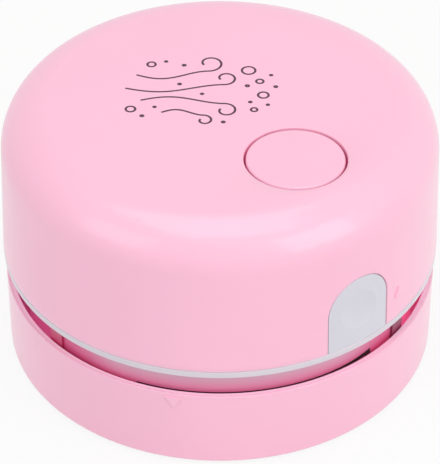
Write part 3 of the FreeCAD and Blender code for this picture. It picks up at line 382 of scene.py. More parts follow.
@dataclass(frozen=True)
class CupShell(PaintedGlowShell):
    """Pink moulding with painted shade and glow on its hidden walls, and a paler painted glow on its rim.
    """

    # painted glow: its colour on the far side of the skirt, and on the rim, which stands in shade under the
    # lip
    far_glow_colour: Colour = srgb(188, 97, 140)
    rim_light: Colour = srgb(246, 235, 255)
    rim_rise: Pair = (16.9 * MM, 17.15 * MM)
    rim_inner: float = 40.0 * MM
    rim_outer: Pair = (42.1 * MM, 41.6 * MM)
    rim_glow: float = 0.22
    skirt_ends: Pair = (26 * MM, 29 * MM)

    def finish(self, board: FinishBoard) -> None:
        """Paint glow on the hidden walls and the rim, each in its own colour, with another on the skirt's
        far side.
        """
        PaintedGlowShell.finish(self, board)
        far = board.ease(board.sideways(FACING), 0.0, self.skirt_ends[1])
        walls = board.blend(far, self.glow_colour, self.far_glow_colour)
        board.set(Emission_Color=board.blend(self.rim(board), walls, self.rim_light))

    def rim(self, board: FinishBoard) -> Socket:
        """Give 1 on the rim, where glow is painted, and 0 elsewhere."""
        above = board.ease(board.along("Z"), *self.rim_rise)
        within = board.ease(board.reach(), *self.rim_outer)
        beyond = board.ease(board.reach(), self.rim_inner, self.rim_inner + CRISP)
        return board.times(above, within, beyond)

    def light(self, board: FinishBoard) -> Socket:
        """Give how much painted glow comes out of the hidden walls and the rim."""
        return board.maths("ADD", PaintedGlowShell.light(self, board), board.times(self.rim(board), self.rim_glow))

    def lit_height(self, board: FinishBoard) -> Socket:
        """Give 1 where the painted glow reaches down; beside the frame's skirt it reaches all the way."""
        aside = board.ease(board.maths("ABSOLUTE", board.sideways(FACING)), *self.skirt_ends)
        return board.maths("MAXIMUM", PaintedGlowShell.lit_height(self, board), aside)


@dataclass(frozen=True)
class FrameWhite(Moulding):
    """White frame moulding with painted pink bounce light and painted shade down in the groove."""

    # painted light and shade: pink bounce low on the skirt, stronger on its far sides, and painted shade on
    # its two end ribs
    bounce_pink: Colour = srgb(236, 122, 166)
    far_bounce_pink: Colour = srgb(220, 94, 142)
    near_jamb_shade_and_bounce: Colour = srgb(200, 56, 104)
    far_jamb_shade: Colour = srgb(138, 52, 84)
    # painted shade: the grey top of the skirt under the lip; painted light: the lip, a little lighter and
    # pinker than the frame
    lip_shade_grey: Colour = srgb(206, 176, 194)
    lip: Colour = srgb(218, 211, 222)
    lip_top: float = 23.6 * MM
    far_ends: Pair = (20 * MM, 31 * MM)
    jamb_ends: Pair = (30.6 * MM, 31.2 * MM)
    groove: Pair = (15.6 * MM, 21.95 * MM)
    fade: Pair = (0.15, 0.95)

    def tint(self, board: FinishBoard) -> Socket:
        """Give white, with painted pink bounce light and shade that grow down the skirt, and a lighter lip.
        """
        height, across = board.along("Z"), board.sideways(FACING)
        start, end = self.jamb_ends
        top = self.groove[1]
        groove = board.ramp(board.span(height, self.groove), self.fade, (self.bounce_pink, self.lip_shade_grey))
        aside = board.ease(board.maths("ABSOLUTE", across), *self.far_ends)
        groove = board.blend(aside, groove, self.far_bounce_pink)
        groove = board.blend(board.ease(across, start, end), groove, self.far_jamb_shade)
        groove = board.blend(board.ease(across, -start, -end), groove, self.near_jamb_shade_and_bounce)
        white = self.cloudy(board, self.colour)
        lip = board.blend(board.ease(height, self.lip_top + CRISP, self.lip_top), white, self.lip)
        return board.blend(board.ease(height, top + CRISP, top), lip, groove)


@dataclass(frozen=True)
class CellJacket(Moulding):
    """Printed sleeve of a battery: plain, with a copper band towards the positive end, and steel ends."""

    band: Colour = srgb(196, 128, 72)
    steel: Colour = srgb(200, 200, 203)
    band_start: float = 11.0 * MM
    head: float = 24.8 * MM
    tail: float = -24.0 * MM

    def lengthwise(self, board: FinishBoard) -> Socket:
        """Give the place along a cell towards its positive end; the two cells lie opposite ways."""
        return board.times(board.maths("SIGN", board.along("X")), board.along("Y"))

    def ends(self, board: FinishBoard) -> Socket:
        """Give 1 on the bare steel of both ends."""
        place = self.lengthwise(board)
        head = board.ease(place, self.head, self.head + CRISP / 2)
        return board.maths("MAXIMUM", head, board.ease(place, self.tail, self.tail - CRISP / 2))

    def tint(self, board: FinishBoard) -> Socket:
        """Give the jacket's two colours along the cell, and the steel's."""
        share = board.ease(self.lengthwise(board), self.band_start, self.band_start + CRISP)
        jacket = board.blend(share, self.cloudy(board, self.colour), self.cloudy(board, self.band))
        return board.blend(self.ends(board), jacket, self.steel)

    def finish(self, board: FinishBoard) -> None:
        """Make the ends metal."""
        board.set(Metallic=self.ends(board))


@dataclass(frozen=True)
class Weave(Moulding):
    """Woven filter cloth: threads that cross at right angles."""

    thread: float = 0.55 * MM
    relief: float = 0.06 * MM

    def finish(self, board: FinishBoard) -> None:
        """Raise the threads."""
        waves = []
        scale = math.pi / 10 / (2 * self.thread)  # a wave of scale 1 repeats every tenth of pi
        for direction in ("X", "Y"):
            wave = board.add("TexWave", wave_type="BANDS", bands_direction=direction)
            board.fill(wave, Vector=board.place, Scale=scale)
            waves.append(wave.outputs["Fac"])
        board.bump(board.times(*waves), self.relief)


@dataclass(frozen=True)
class Metal:
    """Bare or plated metal with fine drawn lines along one axis."""

    name: str
    colour: Colour
    roughness: float = 0.3
    stretch: Point = (1.0, 1.0, 0.04)
    line_shades: Pair = (0.85, 1.05)
    line_scale: float = 3500.0
    line_depth: float = 0.004 * MM
    smudge: Pair = (0.75, 1.3)
    smudge_scale: float = 220.0

    def material(self) -> bpy.types.Material:
        """Build the finish."""
        board = FinishBoard(self.name + "_finish")
        lines = board.noise(self.line_scale, 3.0, self.stretch)
        colours = [scaled(self.colour, shade) for shade in self.line_shades]
        board.set(Base_Color=board.ramp(lines, NOISE_RANGE, colours), Metallic=1.0)
        board.wear(board.noise(self.smudge_scale, 4.0), self.roughness, self.smudge)
        board.bump(lines, self.line_depth)
        return board.material


PINK = srgb(253, 191, 217)
PINK_LOOK = {"roughness": 0.34, "coat": 0.45}

FINISHES = {
    finish.name: finish
    for finish in (
        # painted shade and glow on the inner wall of the button's hole
        PaintedGlowShell(
            "pink_shell",
            PINK,
            **PINK_LOOK,
            centre=BUTTON_MIDDLE,
            inner=9.57 * MM,
            outer=9.64 * MM,
            low=20 * MM,
            high=22 * MM,
            top=53.8 * MM,
            shade_pink=srgb(248, 172, 205),
            glow=0.1,
        ),
        # painted shade and glow inside the cup and on its rim
        CupShell(
            "pink_cup",
            PINK,
            **PINK_LOOK,
            lit_from=38.1 * MM,
            lit_low=14.2 * MM,
            lit_high=15.8 * MM,
            glow_colour=srgb(146, 79, 121),
            glow=0.38,
        ),
        Moulding("pink_cap", PINK, **PINK_LOOK),
        FrameWhite("white_frame", srgb(212, 211, 223), coat=0.4),
        Moulding("white_inner", srgb(226, 226, 230), roughness=0.42),
        Moulding("print_ink", srgb(80, 42, 64), roughness=0.5, cloud=0.06),
        Moulding("foot_rubber", srgb(191, 153, 168), roughness=0.7),
        # near-black finish of the strip that stands as painted shade over the exhaust notch
        Moulding("shade_strip_black", srgb(34, 8, 16), roughness=0.9),
        Moulding("bristle", srgb(216, 211, 217), roughness=0.8),
        Weave("filter_cloth", srgb(225, 225, 222), roughness=0.85),
        Moulding("magnet_ferrite", srgb(48, 47, 50), roughness=0.65),
        CellJacket("cell_jacket", srgb(205, 208, 214), coat=0.4),
        Moulding("board_laminate", srgb(58, 110, 72), roughness=0.45),
        Moulding("switch_black", srgb(38, 38, 40), roughness=0.4),
        Moulding("switch_white", srgb(232, 232, 228), roughness=0.4),
        Moulding("lead_red", srgb(190, 40, 44), roughness=0.45),
        Moulding("lead_black", srgb(36, 36, 38), roughness=0.45),
        Moulding("lead_white", srgb(226, 226, 226), roughness=0.45),
        Metal("screw_steel", srgb(196, 197, 200), roughness=0.28),
        Metal("motor_steel", srgb(200, 200, 203), roughness=0.24),
        Metal("spring_steel", srgb(188, 190, 195)),
        Metal("bush_brass", srgb(205, 172, 104)),
        Metal("core_steel", srgb(150, 150, 154), roughness=0.4),
        Metal("winding_copper", srgb(196, 112, 66), line_scale=5000.0),
    )
}

OWN_FINISH = {"dust_cup": "pink_cup"}  # the node whose finish isn't that of its slot


def dress(thing: bpy.types.Object, finish: str) -> None:
    """Give a piece a finish, whose material is made once, and nothing else."""
    material = bpy.data.materials.get(finish + "_finish") or FINISHES[finish].material()
    thing.data.materials.clear()
    thing.data.materials.append(material)


def dress_nodes() -> None:
    """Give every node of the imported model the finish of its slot."""
    for part in frame["record"]["subparts"]:
        node, slot = part["node"], part["material_slot"]
        dress(frame["nodes"][node], OWN_FINISH.get(node, slot))
        log.info("%s: %s", node, slot)


# --- bench ---


class Kind(Enum):
    """What is picked in edit mode."""

    POINT = "VERT"
    EDGE = "EDGE"
    FACE = "FACE"


def azimuth_of(place: Vector) -> float:
    """Give a place's direction from the drum's axis, in degrees from -Y towards +X."""
    return math.degrees(math.atan2(place.x, -place.y))


def around_axis(azimuth: float, radius: float, height: float) -> Point:
    """Give the point in a direction from the drum's axis, with the azimuth in degrees from -Y."""
    turn = math.radians(azimuth)
    return radius * math.sin(turn), -radius * math.cos(turn), height


def rounded(corners: Sequence[Corner], steps: int = 5) -> list[Pair]:
    """Round the inner corners of an outline.

    Args:
        corners: distance from the axis, height and rounding of each corner, in order.
        steps: flats that stand for each round.

    Returns:
        The points of the outline, with an arc in place of each rounded corner.
    """
    points = []
    for index, (radius, height, rounding) in enumerate(corners):
        here = Vector((radius, height))
        if not rounding:
            points.append((radius, height))
            continue
        before = (Vector(corners[index - 1][:2]) - here).normalized()
        after = (Vector(corners[(index + 1) % len(corners)][:2]) - here).normalized()
        half = before.angle(after) / 2
        middle = here + (before + after).normalized() * (rounding / math.sin(half))
        first = here + before * (rounding / math.tan(half)) - middle
        last = here + after * (rounding / math.tan(half)) - middle
        sweep = first.angle_signed(last)
        for step in range(steps + 1):
            turned = first.copy()
            turned.rotate(Matrix.Rotation(-sweep * step / steps, 2))
            points.append(tuple(middle + turned))
    return points


def pick_alone(*things: bpy.types.Object) -> None:
    """Pick some objects and nothing else, the last of them as the active one."""
    bpy.ops.object.select_all(action="DESELECT")
    for thing in things:
        thing.select_set(True)
        bpy.context.view_layer.objects.active = thing


def hand_over(thing: bpy.types.Object, body: str, slot: str, *nodes: str, finish: str = "") -> None:
    """Dress a piece and hand it to its body.

    Args:
        thing: the piece.
        body: the body that it rides on.
        slot: the record's slot that it takes its finish from, or none.
        nodes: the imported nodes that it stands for.
        finish: a finish of its own, where it isn't the slot's.
    """
    dress(thing, finish or slot)
    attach(thing, body)
    if nodes:
        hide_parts(*nodes)
    log.info("%s rides on %s, finish %s", thing.name, body, finish or slot)


def rods(name: str, lines: Iterable[tuple[bool, Sequence[Point]]], radius: float) -> bpy.types.Object:
    """Draw lines as round rods and make them a mesh.

    Args:
        name: name of the new piece.
        lines: for each line, whether it closes on itself, and its points.
        radius: of the rods.

    Returns:
        The new object, picked alone.
    """
    data = bpy.data.curves.new(name, "CURVE")
    data.dimensions = "3D"
    data.bevel_depth = radius
    data.bevel_resolution = 2
    data.use_fill_caps = True
    for closed, points in lines:
        spline = data.splines.new("POLY")
        spline.points.add(len(points) - 1)
        for point, place in zip(spline.points, points):
            point.co = (*place, 1.0)
        spline.use_cyclic_u = closed
    thing = bpy.data.objects.new(name, data)
    bpy.context.scene.collection.objects.link(thing)
    pick_alone(thing)
    bpy.ops.object.convert(target="MESH")
    return bpy.context.object


class Workpiece:
    """One new piece on the bench: a mesh in edit mode, shaped as by hand, then finished."""

    CORNER = math.radians(50)  # edges that turn by more than this are rounded
    LARGE_FACES = 60  # their weight in the shading, where 50 is neutral

    def __init__(self, name: str) -> None:
        """Clear the bench and start an empty mesh.

        Args:
            name: name of the new piece.
        """
        pick_alone()
        bpy.ops.mesh.primitive_plane_add(size=MM)
        self.thing = bpy.context.object
        self.thing.name = self.thing.data.name = name
        bpy.ops.object.mode_set(mode="EDIT")
        bpy.ops.mesh.delete(type="VERT")

    # picking

    def pick(self, kind: Kind, test: Callable[..., bool]) -> None:
        """Pick the points, edges or faces that pass a test, and nothing else.

        Args:
            kind: what is picked.
            test: says yes or no to one of them.
        """
        bpy.ops.mesh.select_mode(type=kind.value)
        bpy.ops.mesh.select_all(action="DESELECT")
        mesh = bmesh.from_edit_mesh(self.thing.data)
        for item in {Kind.POINT: mesh.verts, Kind.EDGE: mesh.edges, Kind.FACE: mesh.faces}[kind]:
            item.select = test(item)
        mesh.select_flush_mode()
        bmesh.update_edit_mesh(self.thing.data)

    def pick_points(self, test: Test) -> None:
        """Pick the points whose places pass the test."""
        self.pick(Kind.POINT, lambda point: test(point.co))

    def pick_faces(self, test: Test) -> None:
        """Pick the faces whose middles pass the test."""
        self.pick(Kind.FACE, lambda face: test(face.calc_center_median()))

    def pick_rims(self, test: Test) -> None:
        """Pick the open edges whose two ends pass the test."""

        def on_rim(edge: bmesh.types.BMEdge) -> bool:
            return len(edge.link_faces) < 2 and all(test(end.co) for end in edge.verts)

        self.pick(Kind.EDGE, on_rim)

    # shaping

    def move(self, moved: Callable[[Vector], Vector | Point]) -> None:
        """Move each picked point to the place that a function works out from its own."""
        for point in bmesh.from_edit_mesh(self.thing.data).verts:
            if point.select:
                point.co = moved(point.co)
        bmesh.update_edit_mesh(self.thing.data)

    def path(self, points: Sequence[Point]) -> None:
        """Draw a chain of edges through the points, by extruding one point along them, and pick it."""
        bpy.ops.mesh.select_mode(type=Kind.POINT.value)
        bpy.ops.mesh.select_all(action="DESELECT")
        bpy.ops.mesh.primitive_plane_add(size=MM, location=points[0])
        bpy.ops.mesh.merge(type="CENTER")
        for start, end in zip(points, points[1:]):
            step = tuple(b - a for a, b in zip(start, end))
            bpy.ops.mesh.extrude_vertices_move(TRANSFORM_OT_translate={"value": step})
        bpy.ops.mesh.select_linked()

    def turn(self, outline: Sequence[Pair], steps: int, centre: Pair = (0, 0)) -> None:
        """Spin an outline once round an upright axis, with its faces outwards.

        Args:
            outline: distance from the axis and height of each point.
            steps: flats in a full turn.
            centre: where the axis stands.
        """
        x, y = centre
        self.path([(x + radius, y, height) for radius, height in outline])
        bpy.ops.mesh.spin(steps=steps, angle=2 * math.pi, center=(x, y, 0), axis=(0, 0, 1))
        bpy.ops.mesh.select_linked()
        self.close()

    def close(self) -> None:
        """Merge the picked doubles and turn the picked faces outwards."""
        bpy.ops.mesh.remove_doubles(threshold=TOUCH)
        bpy.ops.mesh.normals_make_consistent(inside=False)

    def outward(self) -> None:
        """Merge all doubles and turn every face outwards."""
        bpy.ops.mesh.select_all(action="SELECT")
        self.close()

    def bridge(self, cuts: int) -> None:
        """Join the two picked chains of edges with faces."""
        bpy.ops.mesh.bridge_edge_loops(number_cuts=cuts, interpolation="LINEAR")

    def lay_on(self, radius_at: Callable[[float], float], test: Test) -> None:
        """Move points straight out from the axis until they lie on a turned surface.

        Args:
            radius_at: the surface's distance from the axis at a height.
            test: picks the points.
        """
        self.pick_points(test)
        self.move(lambda place: (*(place.xy.normalized() * radius_at(place.z)), place.z))

    # finishing

    def modify(self, kind: str, **settings: object) -> None:
        """Add a modifier and apply it.

        Args:
            kind: Blender's name of the modifier type.
            settings: properties of the modifier, by name.
        """
        mode = self.thing.mode
        bpy.ops.object.mode_set(mode="OBJECT")
        modifier = self.thing.modifiers.new(kind.lower(), kind)
        for key, value in settings.items():
            setattr(modifier, key, value)
        bpy.ops.object.modifier_apply(modifier=modifier.name)
        bpy.ops.object.mode_set(mode=mode)

    def soften(self, width: float, segments: int) -> None:
        """Round every edge that turns sharply."""
        limit = {"limit_method": "ANGLE", "angle_limit": self.CORNER}
        self.modify("BEVEL", width=width, segments=segments, **limit)

    def even_out(self) -> None:
        """Shade by the large faces, so that the rounded edges don't bend the light on them."""
        self.modify("WEIGHTED_NORMAL", keep_sharp=False, weight=self.LARGE_FACES)

    def done(self, sharp: float = 60.0) -> bpy.types.Object:
        """Leave edit mode and smooth the piece, but for edges that turn more than this many degrees."""
        bpy.ops.object.mode_set(mode="OBJECT")
        bpy.ops.object.shade_smooth_by_angle(angle=math.radians(sharp))
        return self.thing


# --- cover ---


@dataclass
class Cover:
    """Pink upper shell: drafted wall, round shoulder, lid with the button's hole, and arch notch."""

    radius: float = 42.5 * MM
    taper: float = 1.1 * MM
    wall: float = 2.0 * MM
    foot: float = 23.62 * MM
    roof: float = 54.0 * MM
    shoulder: float = 8.9 * MM
    draft_start: float = 23.75 * MM
    arch_half: float = 7.05 * MM
    arch_top: float = 38.45 * MM
    hole_radius: float = 9.55 * MM
    edge: float = 0.14 * MM
    guide_wall: float = 1.4 * MM
    guide_low: float = 47.0 * MM
    guide_rounding: float = 0.3 * MM
    boss_radius: float = 2.5 * MM
    boss_low: float = 42.6 * MM
    boss_offset: float = 14.0 * MM
    pilot_radius: float = 0.9 * MM
    pilot_rounding: float = 0.2 * MM
    steps: int = 192
    shoulder_steps: int = 20
    patch_columns: int = 8
    patch_rows: int = 16
    patch_top: float = 43.0 * MM
    near: float = 0.01 * MM

    def radius_at(self, height: float) -> float:
        """Give the wall's distance from the axis at a height."""
        return self.radius - self.taper * (height - self.draft_start) / (self.roof - self.draft_start)

    def outline(self) -> list[Pair]:
        """Give the outline from the lid's flat over the shoulder and down the wall."""
        top = (self.radius_at(self.roof), self.roof, self.shoulder)
        ends = [(0, self.roof, 0), (self.radius_at(self.foot), self.foot, 0)]
        corner = rounded([ends[0], top, ends[1]], self.shoulder_steps)[1:-1]
        pitch = (self.foot - self.patch_top) / self.patch_rows
        rows = [self.patch_top + pitch * row for row in range(self.patch_rows + 1)]
        return corner + [(self.radius_at(height), height) for height in rows]

    def arch(self) -> Iterator[Point]:
        """Give the notch's edge, up, over and down, with as many points as its patch's border."""
        straight = self.patch_rows // 2
        curved = self.patch_rows - straight + self.patch_columns
        spring = self.arch_top - self.arch_half
        rise = (spring - self.foot) / straight
        side = [(self.arch_half, self.foot + rise * step) for step in range(straight)]
        turns = (math.pi / 2 * step / curved for step in range(curved + 1))
        side += [circle((0.0, spring), self.arch_half, turn) for turn in turns]
        for x, z in [(-x, z) for x, z in side] + side[-2::-1]:
            yield x, -math.sqrt(self.radius_at(z) ** 2 - x * x), z

    def build(self) -> None:
        """Model the shell, then its guide tube and screw bosses."""
        piece = Workpiece("cover_shell")
        piece.turn(self.outline(), self.steps)
        middle = (*BUTTON_MIDDLE, self.roof)
        bpy.ops.mesh.primitive_circle_add(vertices=self.steps, radius=self.hole_radius, location=middle)
        piece.pick_rims(lambda place: place.z > self.roof - self.near)
        bpy.ops.mesh.fill(use_beauty=True)
        self.cut_notch(piece)
        piece.outward()
        piece.modify("SOLIDIFY", thickness=self.wall, offset=-1, use_even_offset=True)
        piece.soften(self.edge, 3)
        piece.even_out()
        self.add_guide(piece)
        hand_over(piece.done(), "cover", "pink_shell", "top_cover")

    def cut_notch(self, piece: Workpiece) -> None:
        """Open the wall at the front and fill it again round the arch."""
        reach = 360 / self.steps * self.patch_columns + math.degrees(self.near / self.radius)
        top = self.patch_top + self.near

        def in_patch(place: Vector) -> bool:
            return abs(azimuth_of(place)) < reach and place.z < top

        piece.pick_faces(in_patch)
        bpy.ops.mesh.delete(type="FACE")
        piece.path(list(self.arch()))
        piece.pick_rims(in_patch)
        piece.bridge(self.patch_columns - 1)
        piece.lay_on(self.radius_at, in_patch)

    def add_guide(self, piece: Workpiece) -> None:
        """Hang the button's guide tube and the two bosses for its screws under the roof."""
        bpy.ops.object.mode_set(mode="EDIT")
        under, curve = self.roof - self.wall, self.guide_rounding
        inner, outer, low = self.hole_radius, self.hole_radius + self.guide_wall, self.guide_low
        tube = [(inner, under, 0), (outer, under, 0), (outer, low, curve), (inner, low, curve)]
        piece.turn(rounded(tube + tube[:1]), self.steps // 2, BUTTON_MIDDLE)
        bore, skin, low = self.pilot_radius, self.boss_radius, self.boss_low
        boss = [(bore, under, 0), (skin, under, 0), (skin, low, curve), (bore, low, self.pilot_rounding)]
        for side in (-self.boss_offset, self.boss_offset):
            piece.turn(rounded(boss + boss[:1]), self.steps // 4, (side, BUTTON_MIDDLE[1]))


# --- marks, tab, seal, print, spring and brush ---


@dataclass
class Mark:
    """Small raised triangle of the lock: the cup's has to come under the cover's."""

    name: str
    body: str
    finish: str
    azimuth: float
    width: float
    base: float
    tip: float
    wall: Callable[[float], float]
    proud: float = 0.24 * MM
    sunk: float = 0.3 * MM
    slope: float = 0.12 * MM

    def build(self) -> None:
        """Model the triangle flat, wrap it round the wall and give it sloping sides."""
        piece = Workpiece(self.name)
        half = self.width / 2
        piece.path([(-half, 0, self.base), (half, 0, self.base), (0, 0, self.tip)])
        bpy.ops.mesh.edge_face_add()
        bpy.ops.mesh.subdivide(number_cuts=5)
        self.wrap(piece, self.proud)
        bpy.ops.mesh.extrude_region()
        self.wrap(piece, -self.sunk)
        piece.outward()
        piece.soften(self.slope, 2)
        hand_over(piece.done(), self.body, "pink_shell", finish=self.finish)

    def wrap(self, piece: Workpiece, lift: float) -> None:
        """Lay the picked points round the wall; flat points first, wrapped ones straight in or out.

        Args:
            piece: the triangle.
            lift: height over the wall.
        """

        def wrapped(place: Vector) -> Point:
            radius = self.wall(place.z)
            flat = abs(place.y) < MM
            azimuth = self.azimuth + math.degrees(place.x / radius) if flat else azimuth_of(place)
            return around_axis(azimuth, radius + lift, place.z)

        piece.move(wrapped)


@dataclass
class TabFace:
    """Smooth white face of the arch tab, with a shallow dish for the fingertip."""

    wall: Callable[[float], float]
    half: float = 7.0 * MM
    low: float = 23.6 * MM
    top: float = 38.4 * MM
    recess: float = 0.03 * MM
    shift: float = 0.04 * MM
    depth: float = 0.75 * MM
    dish_height: float = 30.95 * MM
    dish_reach: float = 3.9 * MM
    eye: float = 0.4 * MM
    thickness: float = 0.5 * MM
    edge: float = 0.07 * MM
    side_steps: int = 14
    arc_steps: int = 40
    rings: int = 16

    def border(self) -> list[Pair]:
        """Give the arch's closed border, from the lower right corner up and round."""
        spring, steps = self.top - self.half, self.side_steps
        rise = [(self.half, self.low + (spring - self.low) * step / steps) for step in range(steps)]
        turns = (math.pi * step / self.arc_steps for step in range(self.arc_steps + 1))
        arc = [circle((0.0, spring), self.half, turn) for turn in turns]
        foot = [(-self.half + 2 * self.half * step / steps, self.low) for step in range(1, steps)]
        return rise + arc + [(-x, z) for x, z in reversed(rise)] + foot

    def from_dish(self, x: float, z: float) -> float:
        """Give the distance from the dish's middle, seen from the front."""
        return math.hypot(x, z - self.dish_height)

    def build(self) -> None:
        """Model the face from its border in to the dish's middle, then bow it and press the dish in."""
        piece = Workpiece("tab_face")
        border, eye = self.border(), []
        for x, z in border:
            share = self.eye / self.from_dish(x, z)
            eye.append((x * share, self.dish_height + (z - self.dish_height) * share))
        for ring in (border, eye):
            piece.path([(x, -self.wall(z), z) for x, z in ring + ring[:1]])
            bpy.ops.mesh.remove_doubles(threshold=TOUCH)
        piece.pick_rims(lambda place: True)
        piece.bridge(self.rings)
        piece.pick_rims(lambda place: self.from_dish(place.x, place.z) < 2 * self.eye)
        bpy.ops.mesh.edge_face_add()
        bpy.ops.mesh.poke()
        piece.lay_on(lambda height: self.wall(height) - self.recess, lambda place: True)
        piece.pick_points(lambda place: self.from_dish(place.x, place.z) < self.eye / 2)
        bpy.ops.transform.translate(
            value=(0, self.depth, 0),
            use_proportional_edit=True,
            proportional_edit_falloff="INVERSE_SQUARE",
            proportional_size=self.dish_reach,
        )
        piece.outward()
        bpy.ops.transform.translate(value=(-self.shift, 0, 0))
        piece.modify("SOLIDIFY", thickness=self.thickness, offset=-1)
        piece.soften(self.edge, 3)
        piece.even_out()
        hand_over(piece.done(), "chassis", "white_frame")


@dataclass
class ExhaustShadeStrip:
    """Near-black strip on the skirt, over the exhaust notch, that stands as painted shade and grows towards
    one end.
    """

    radius: float = 40.32 * MM
    thickness: float = 0.2 * MM
    edge: float = 0.03 * MM
    low: float = 16.64 * MM
    height: float = 0.14 * MM
    rise: float = 0.85 * MM
    start: float = -60.0
    rise_start: float = -15.0
    end: float = 7.0
    steps: int = 96

    def raised(self, place: Vector) -> Vector:
        """Lift a point of the upper edge, the more the nearer it lies to the thick end."""
        share = max(0.0, (azimuth_of(place) - self.rise_start) / (self.end - self.rise_start))
        return place + Vector((0, 0, self.rise * share**3))

    def build(self) -> None:
        """Draw the lower edge along the notch, raise it to a wall and give it its thickness."""
        piece = Workpiece("exhaust_shade_strip")
        pitch = (self.end - self.start) / self.steps
        azimuths = [self.start + pitch * step for step in range(self.steps + 1)]
        piece.path([around_axis(azimuth, self.radius, self.low) for azimuth in azimuths])
        bpy.ops.mesh.extrude_region_move(TRANSFORM_OT_translate={"value": (0, 0, self.height)})
        piece.move(self.raised)
        piece.modify("SOLIDIFY", thickness=self.thickness, offset=0)
        piece.soften(self.edge, 2)
        piece.outward()
        hand_over(piece.done(sharp=35.0), "chassis", "foot_rubber", finish="shade_strip_black")


@dataclass
class LidPrint:
    """Generic line drawing on the lid: gusts of air with curled ends, rings and specks."""

    turn: float = -37.4
    lid: float = 54.0 * MM
    stroke: float = 0.23 * MM
    ink: float = 0.012 * MM
    step: float = 0.25 * MM
    waves: float = 0.75
    curl_turn: float = 300.0
    curl_steps: int = 30
    curl_shrink: float = 0.55
    ring_steps: int = 24
    # Start across and up the drawing, length, swell, curl and way of each gust, in millimetres.
    gusts: tuple[tuple[float, float, float, float, float, int], ...] = (
        (-16.0, 9.0, 14.0, 1.3, 2.7, 1),
        (-18.0, 4.5, 19.0, 1.2, 2.2, 1),
        (-15.0, 0.5, 16.0, 1.1, 2.2, -1),
        (-11.0, -3.5, 8.0, 0.9, 1.6, -1),
    )
    # Middle across and up, and radius, in millimetres: open rings, then small filled specks.
    rings: tuple[Point, ...] = (
        (5.5, 10.5, 1.3), (7.6, 6.8, 0.7), (8.2, 2.2, 1.0), (6.4, -2.6, 0.6), (-13.2, 12.6, 0.8),
        (-16.8, -2.4, 0.9), (-10.4, 13.6, 0.2), (-6.9, 12.3, 0.26), (-7.7, 5.9, 0.24), (5.2, 5.3, 0.3),
        (9.8, 8.9, 0.2), (10.6, 5.0, 0.26), (5.7, -0.1, 0.22), (9.0, -1.0, 0.2), (-3.4, 2.6, 0.2),
        (-14.6, -4.6, 0.26), (-12.3, -1.7, 0.2), (0.6, -6.6, 0.24),
    )

    def gust(self, x: float, y: float, length: float, swell: float, curl: float, way: int) -> list[Point]:
        """Draw one gust: a slow wave that ends in a curl.

        Args:
            x: where the gust begins, across the drawing.
            y: where it begins, up the drawing.
            length: run of the wave.
            swell: height of the wave.
            curl: radius at which the curl starts.
            way: 1 curls up and -1 curls down.

        Returns:
            The points of the line.
        """
        count = int(length / self.step)
        shares = [k / count for k in range(count + 1)]
        run = [
            (x + length * share, y - way * swell * math.sin(2 * math.pi * self.waves * share), 0.0)
            for share in shares
        ]
        last_x, last_y, _ = run[-1]
        for share in (k / self.curl_steps for k in range(1, self.curl_steps + 1)):
            sweep = math.radians(self.curl_turn) * share
            radius = curl * (1 - self.curl_shrink * share)
            across, up = radius * math.sin(sweep), curl - radius * math.cos(sweep)
            run.append((last_x + across, last_y + way * up, 0.0))
        return run

    def ring(self, x: float, y: float, radius: float) -> list[Point]:
        """Draw a small circle."""
        turns = (2 * math.pi * k / self.ring_steps for k in range(self.ring_steps))
        return [(*circle((x, y), radius, turn), 0.0) for turn in turns]

    def build(self) -> None:
        """Draw the lines, make them a thin film of ink and lay it on the lid."""
        lines = [(False, self.gust(*(value * MM for value in sizes), way)) for *sizes, way in self.gusts]
        lines += [(True, self.ring(*(value * MM for value in sizes))) for sizes in self.rings]
        drawing = rods("lid_print", lines, self.stroke)
        drawing.scale.z = self.ink / self.stroke
        drawing.rotation_euler.z = math.radians(self.turn)
        drawing.location.z = self.lid
        bpy.ops.object.transform_apply(location=True, rotation=True, scale=True)
        bpy.ops.object.shade_smooth()
        hand_over(drawing, "cover", "", finish="print_ink")


@dataclass
class PressSpring:
    """Coil spring under the button, with closed ends."""

    radius: float = 5.0 * MM
    wire: float = 0.35 * MM
    low: float = 42.95 * MM
    high: float = 51.9 * MM
    turns: float = 5.0
    closed_pitch: float = 2.1
    travel: float = 1.5 * MM
    steps: int = 40

    def coil(self) -> Iterator[Point]:
        """Give the points of the wire: one closed turn, the open turns, and one more closed turn."""
        closed_rise = self.closed_pitch * self.wire
        start = self.low + self.wire
        open_rise = (self.high - self.wire - start - 2 * closed_rise) / self.turns
        for step in range(int((self.turns + 2) * self.steps) + 1):
            turns = step / self.steps
            closed = min(turns, 1.0) + max(turns - 1 - self.turns, 0.0)
            height = start + closed_rise * closed + open_rise * min(max(turns - 1, 0.0), self.turns)
            yield *circle(BUTTON_MIDDLE, self.radius, 2 * math.pi * turns), height

    def build(self) -> None:
        """Wind the wire and hand it to the cover."""
        spring = rods("press_spring", [(False, list(self.coil()))], self.wire)
        bpy.ops.object.shade_smooth()
        hand_over(spring, "cover", "spring_steel", "button_spring")
        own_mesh(spring)


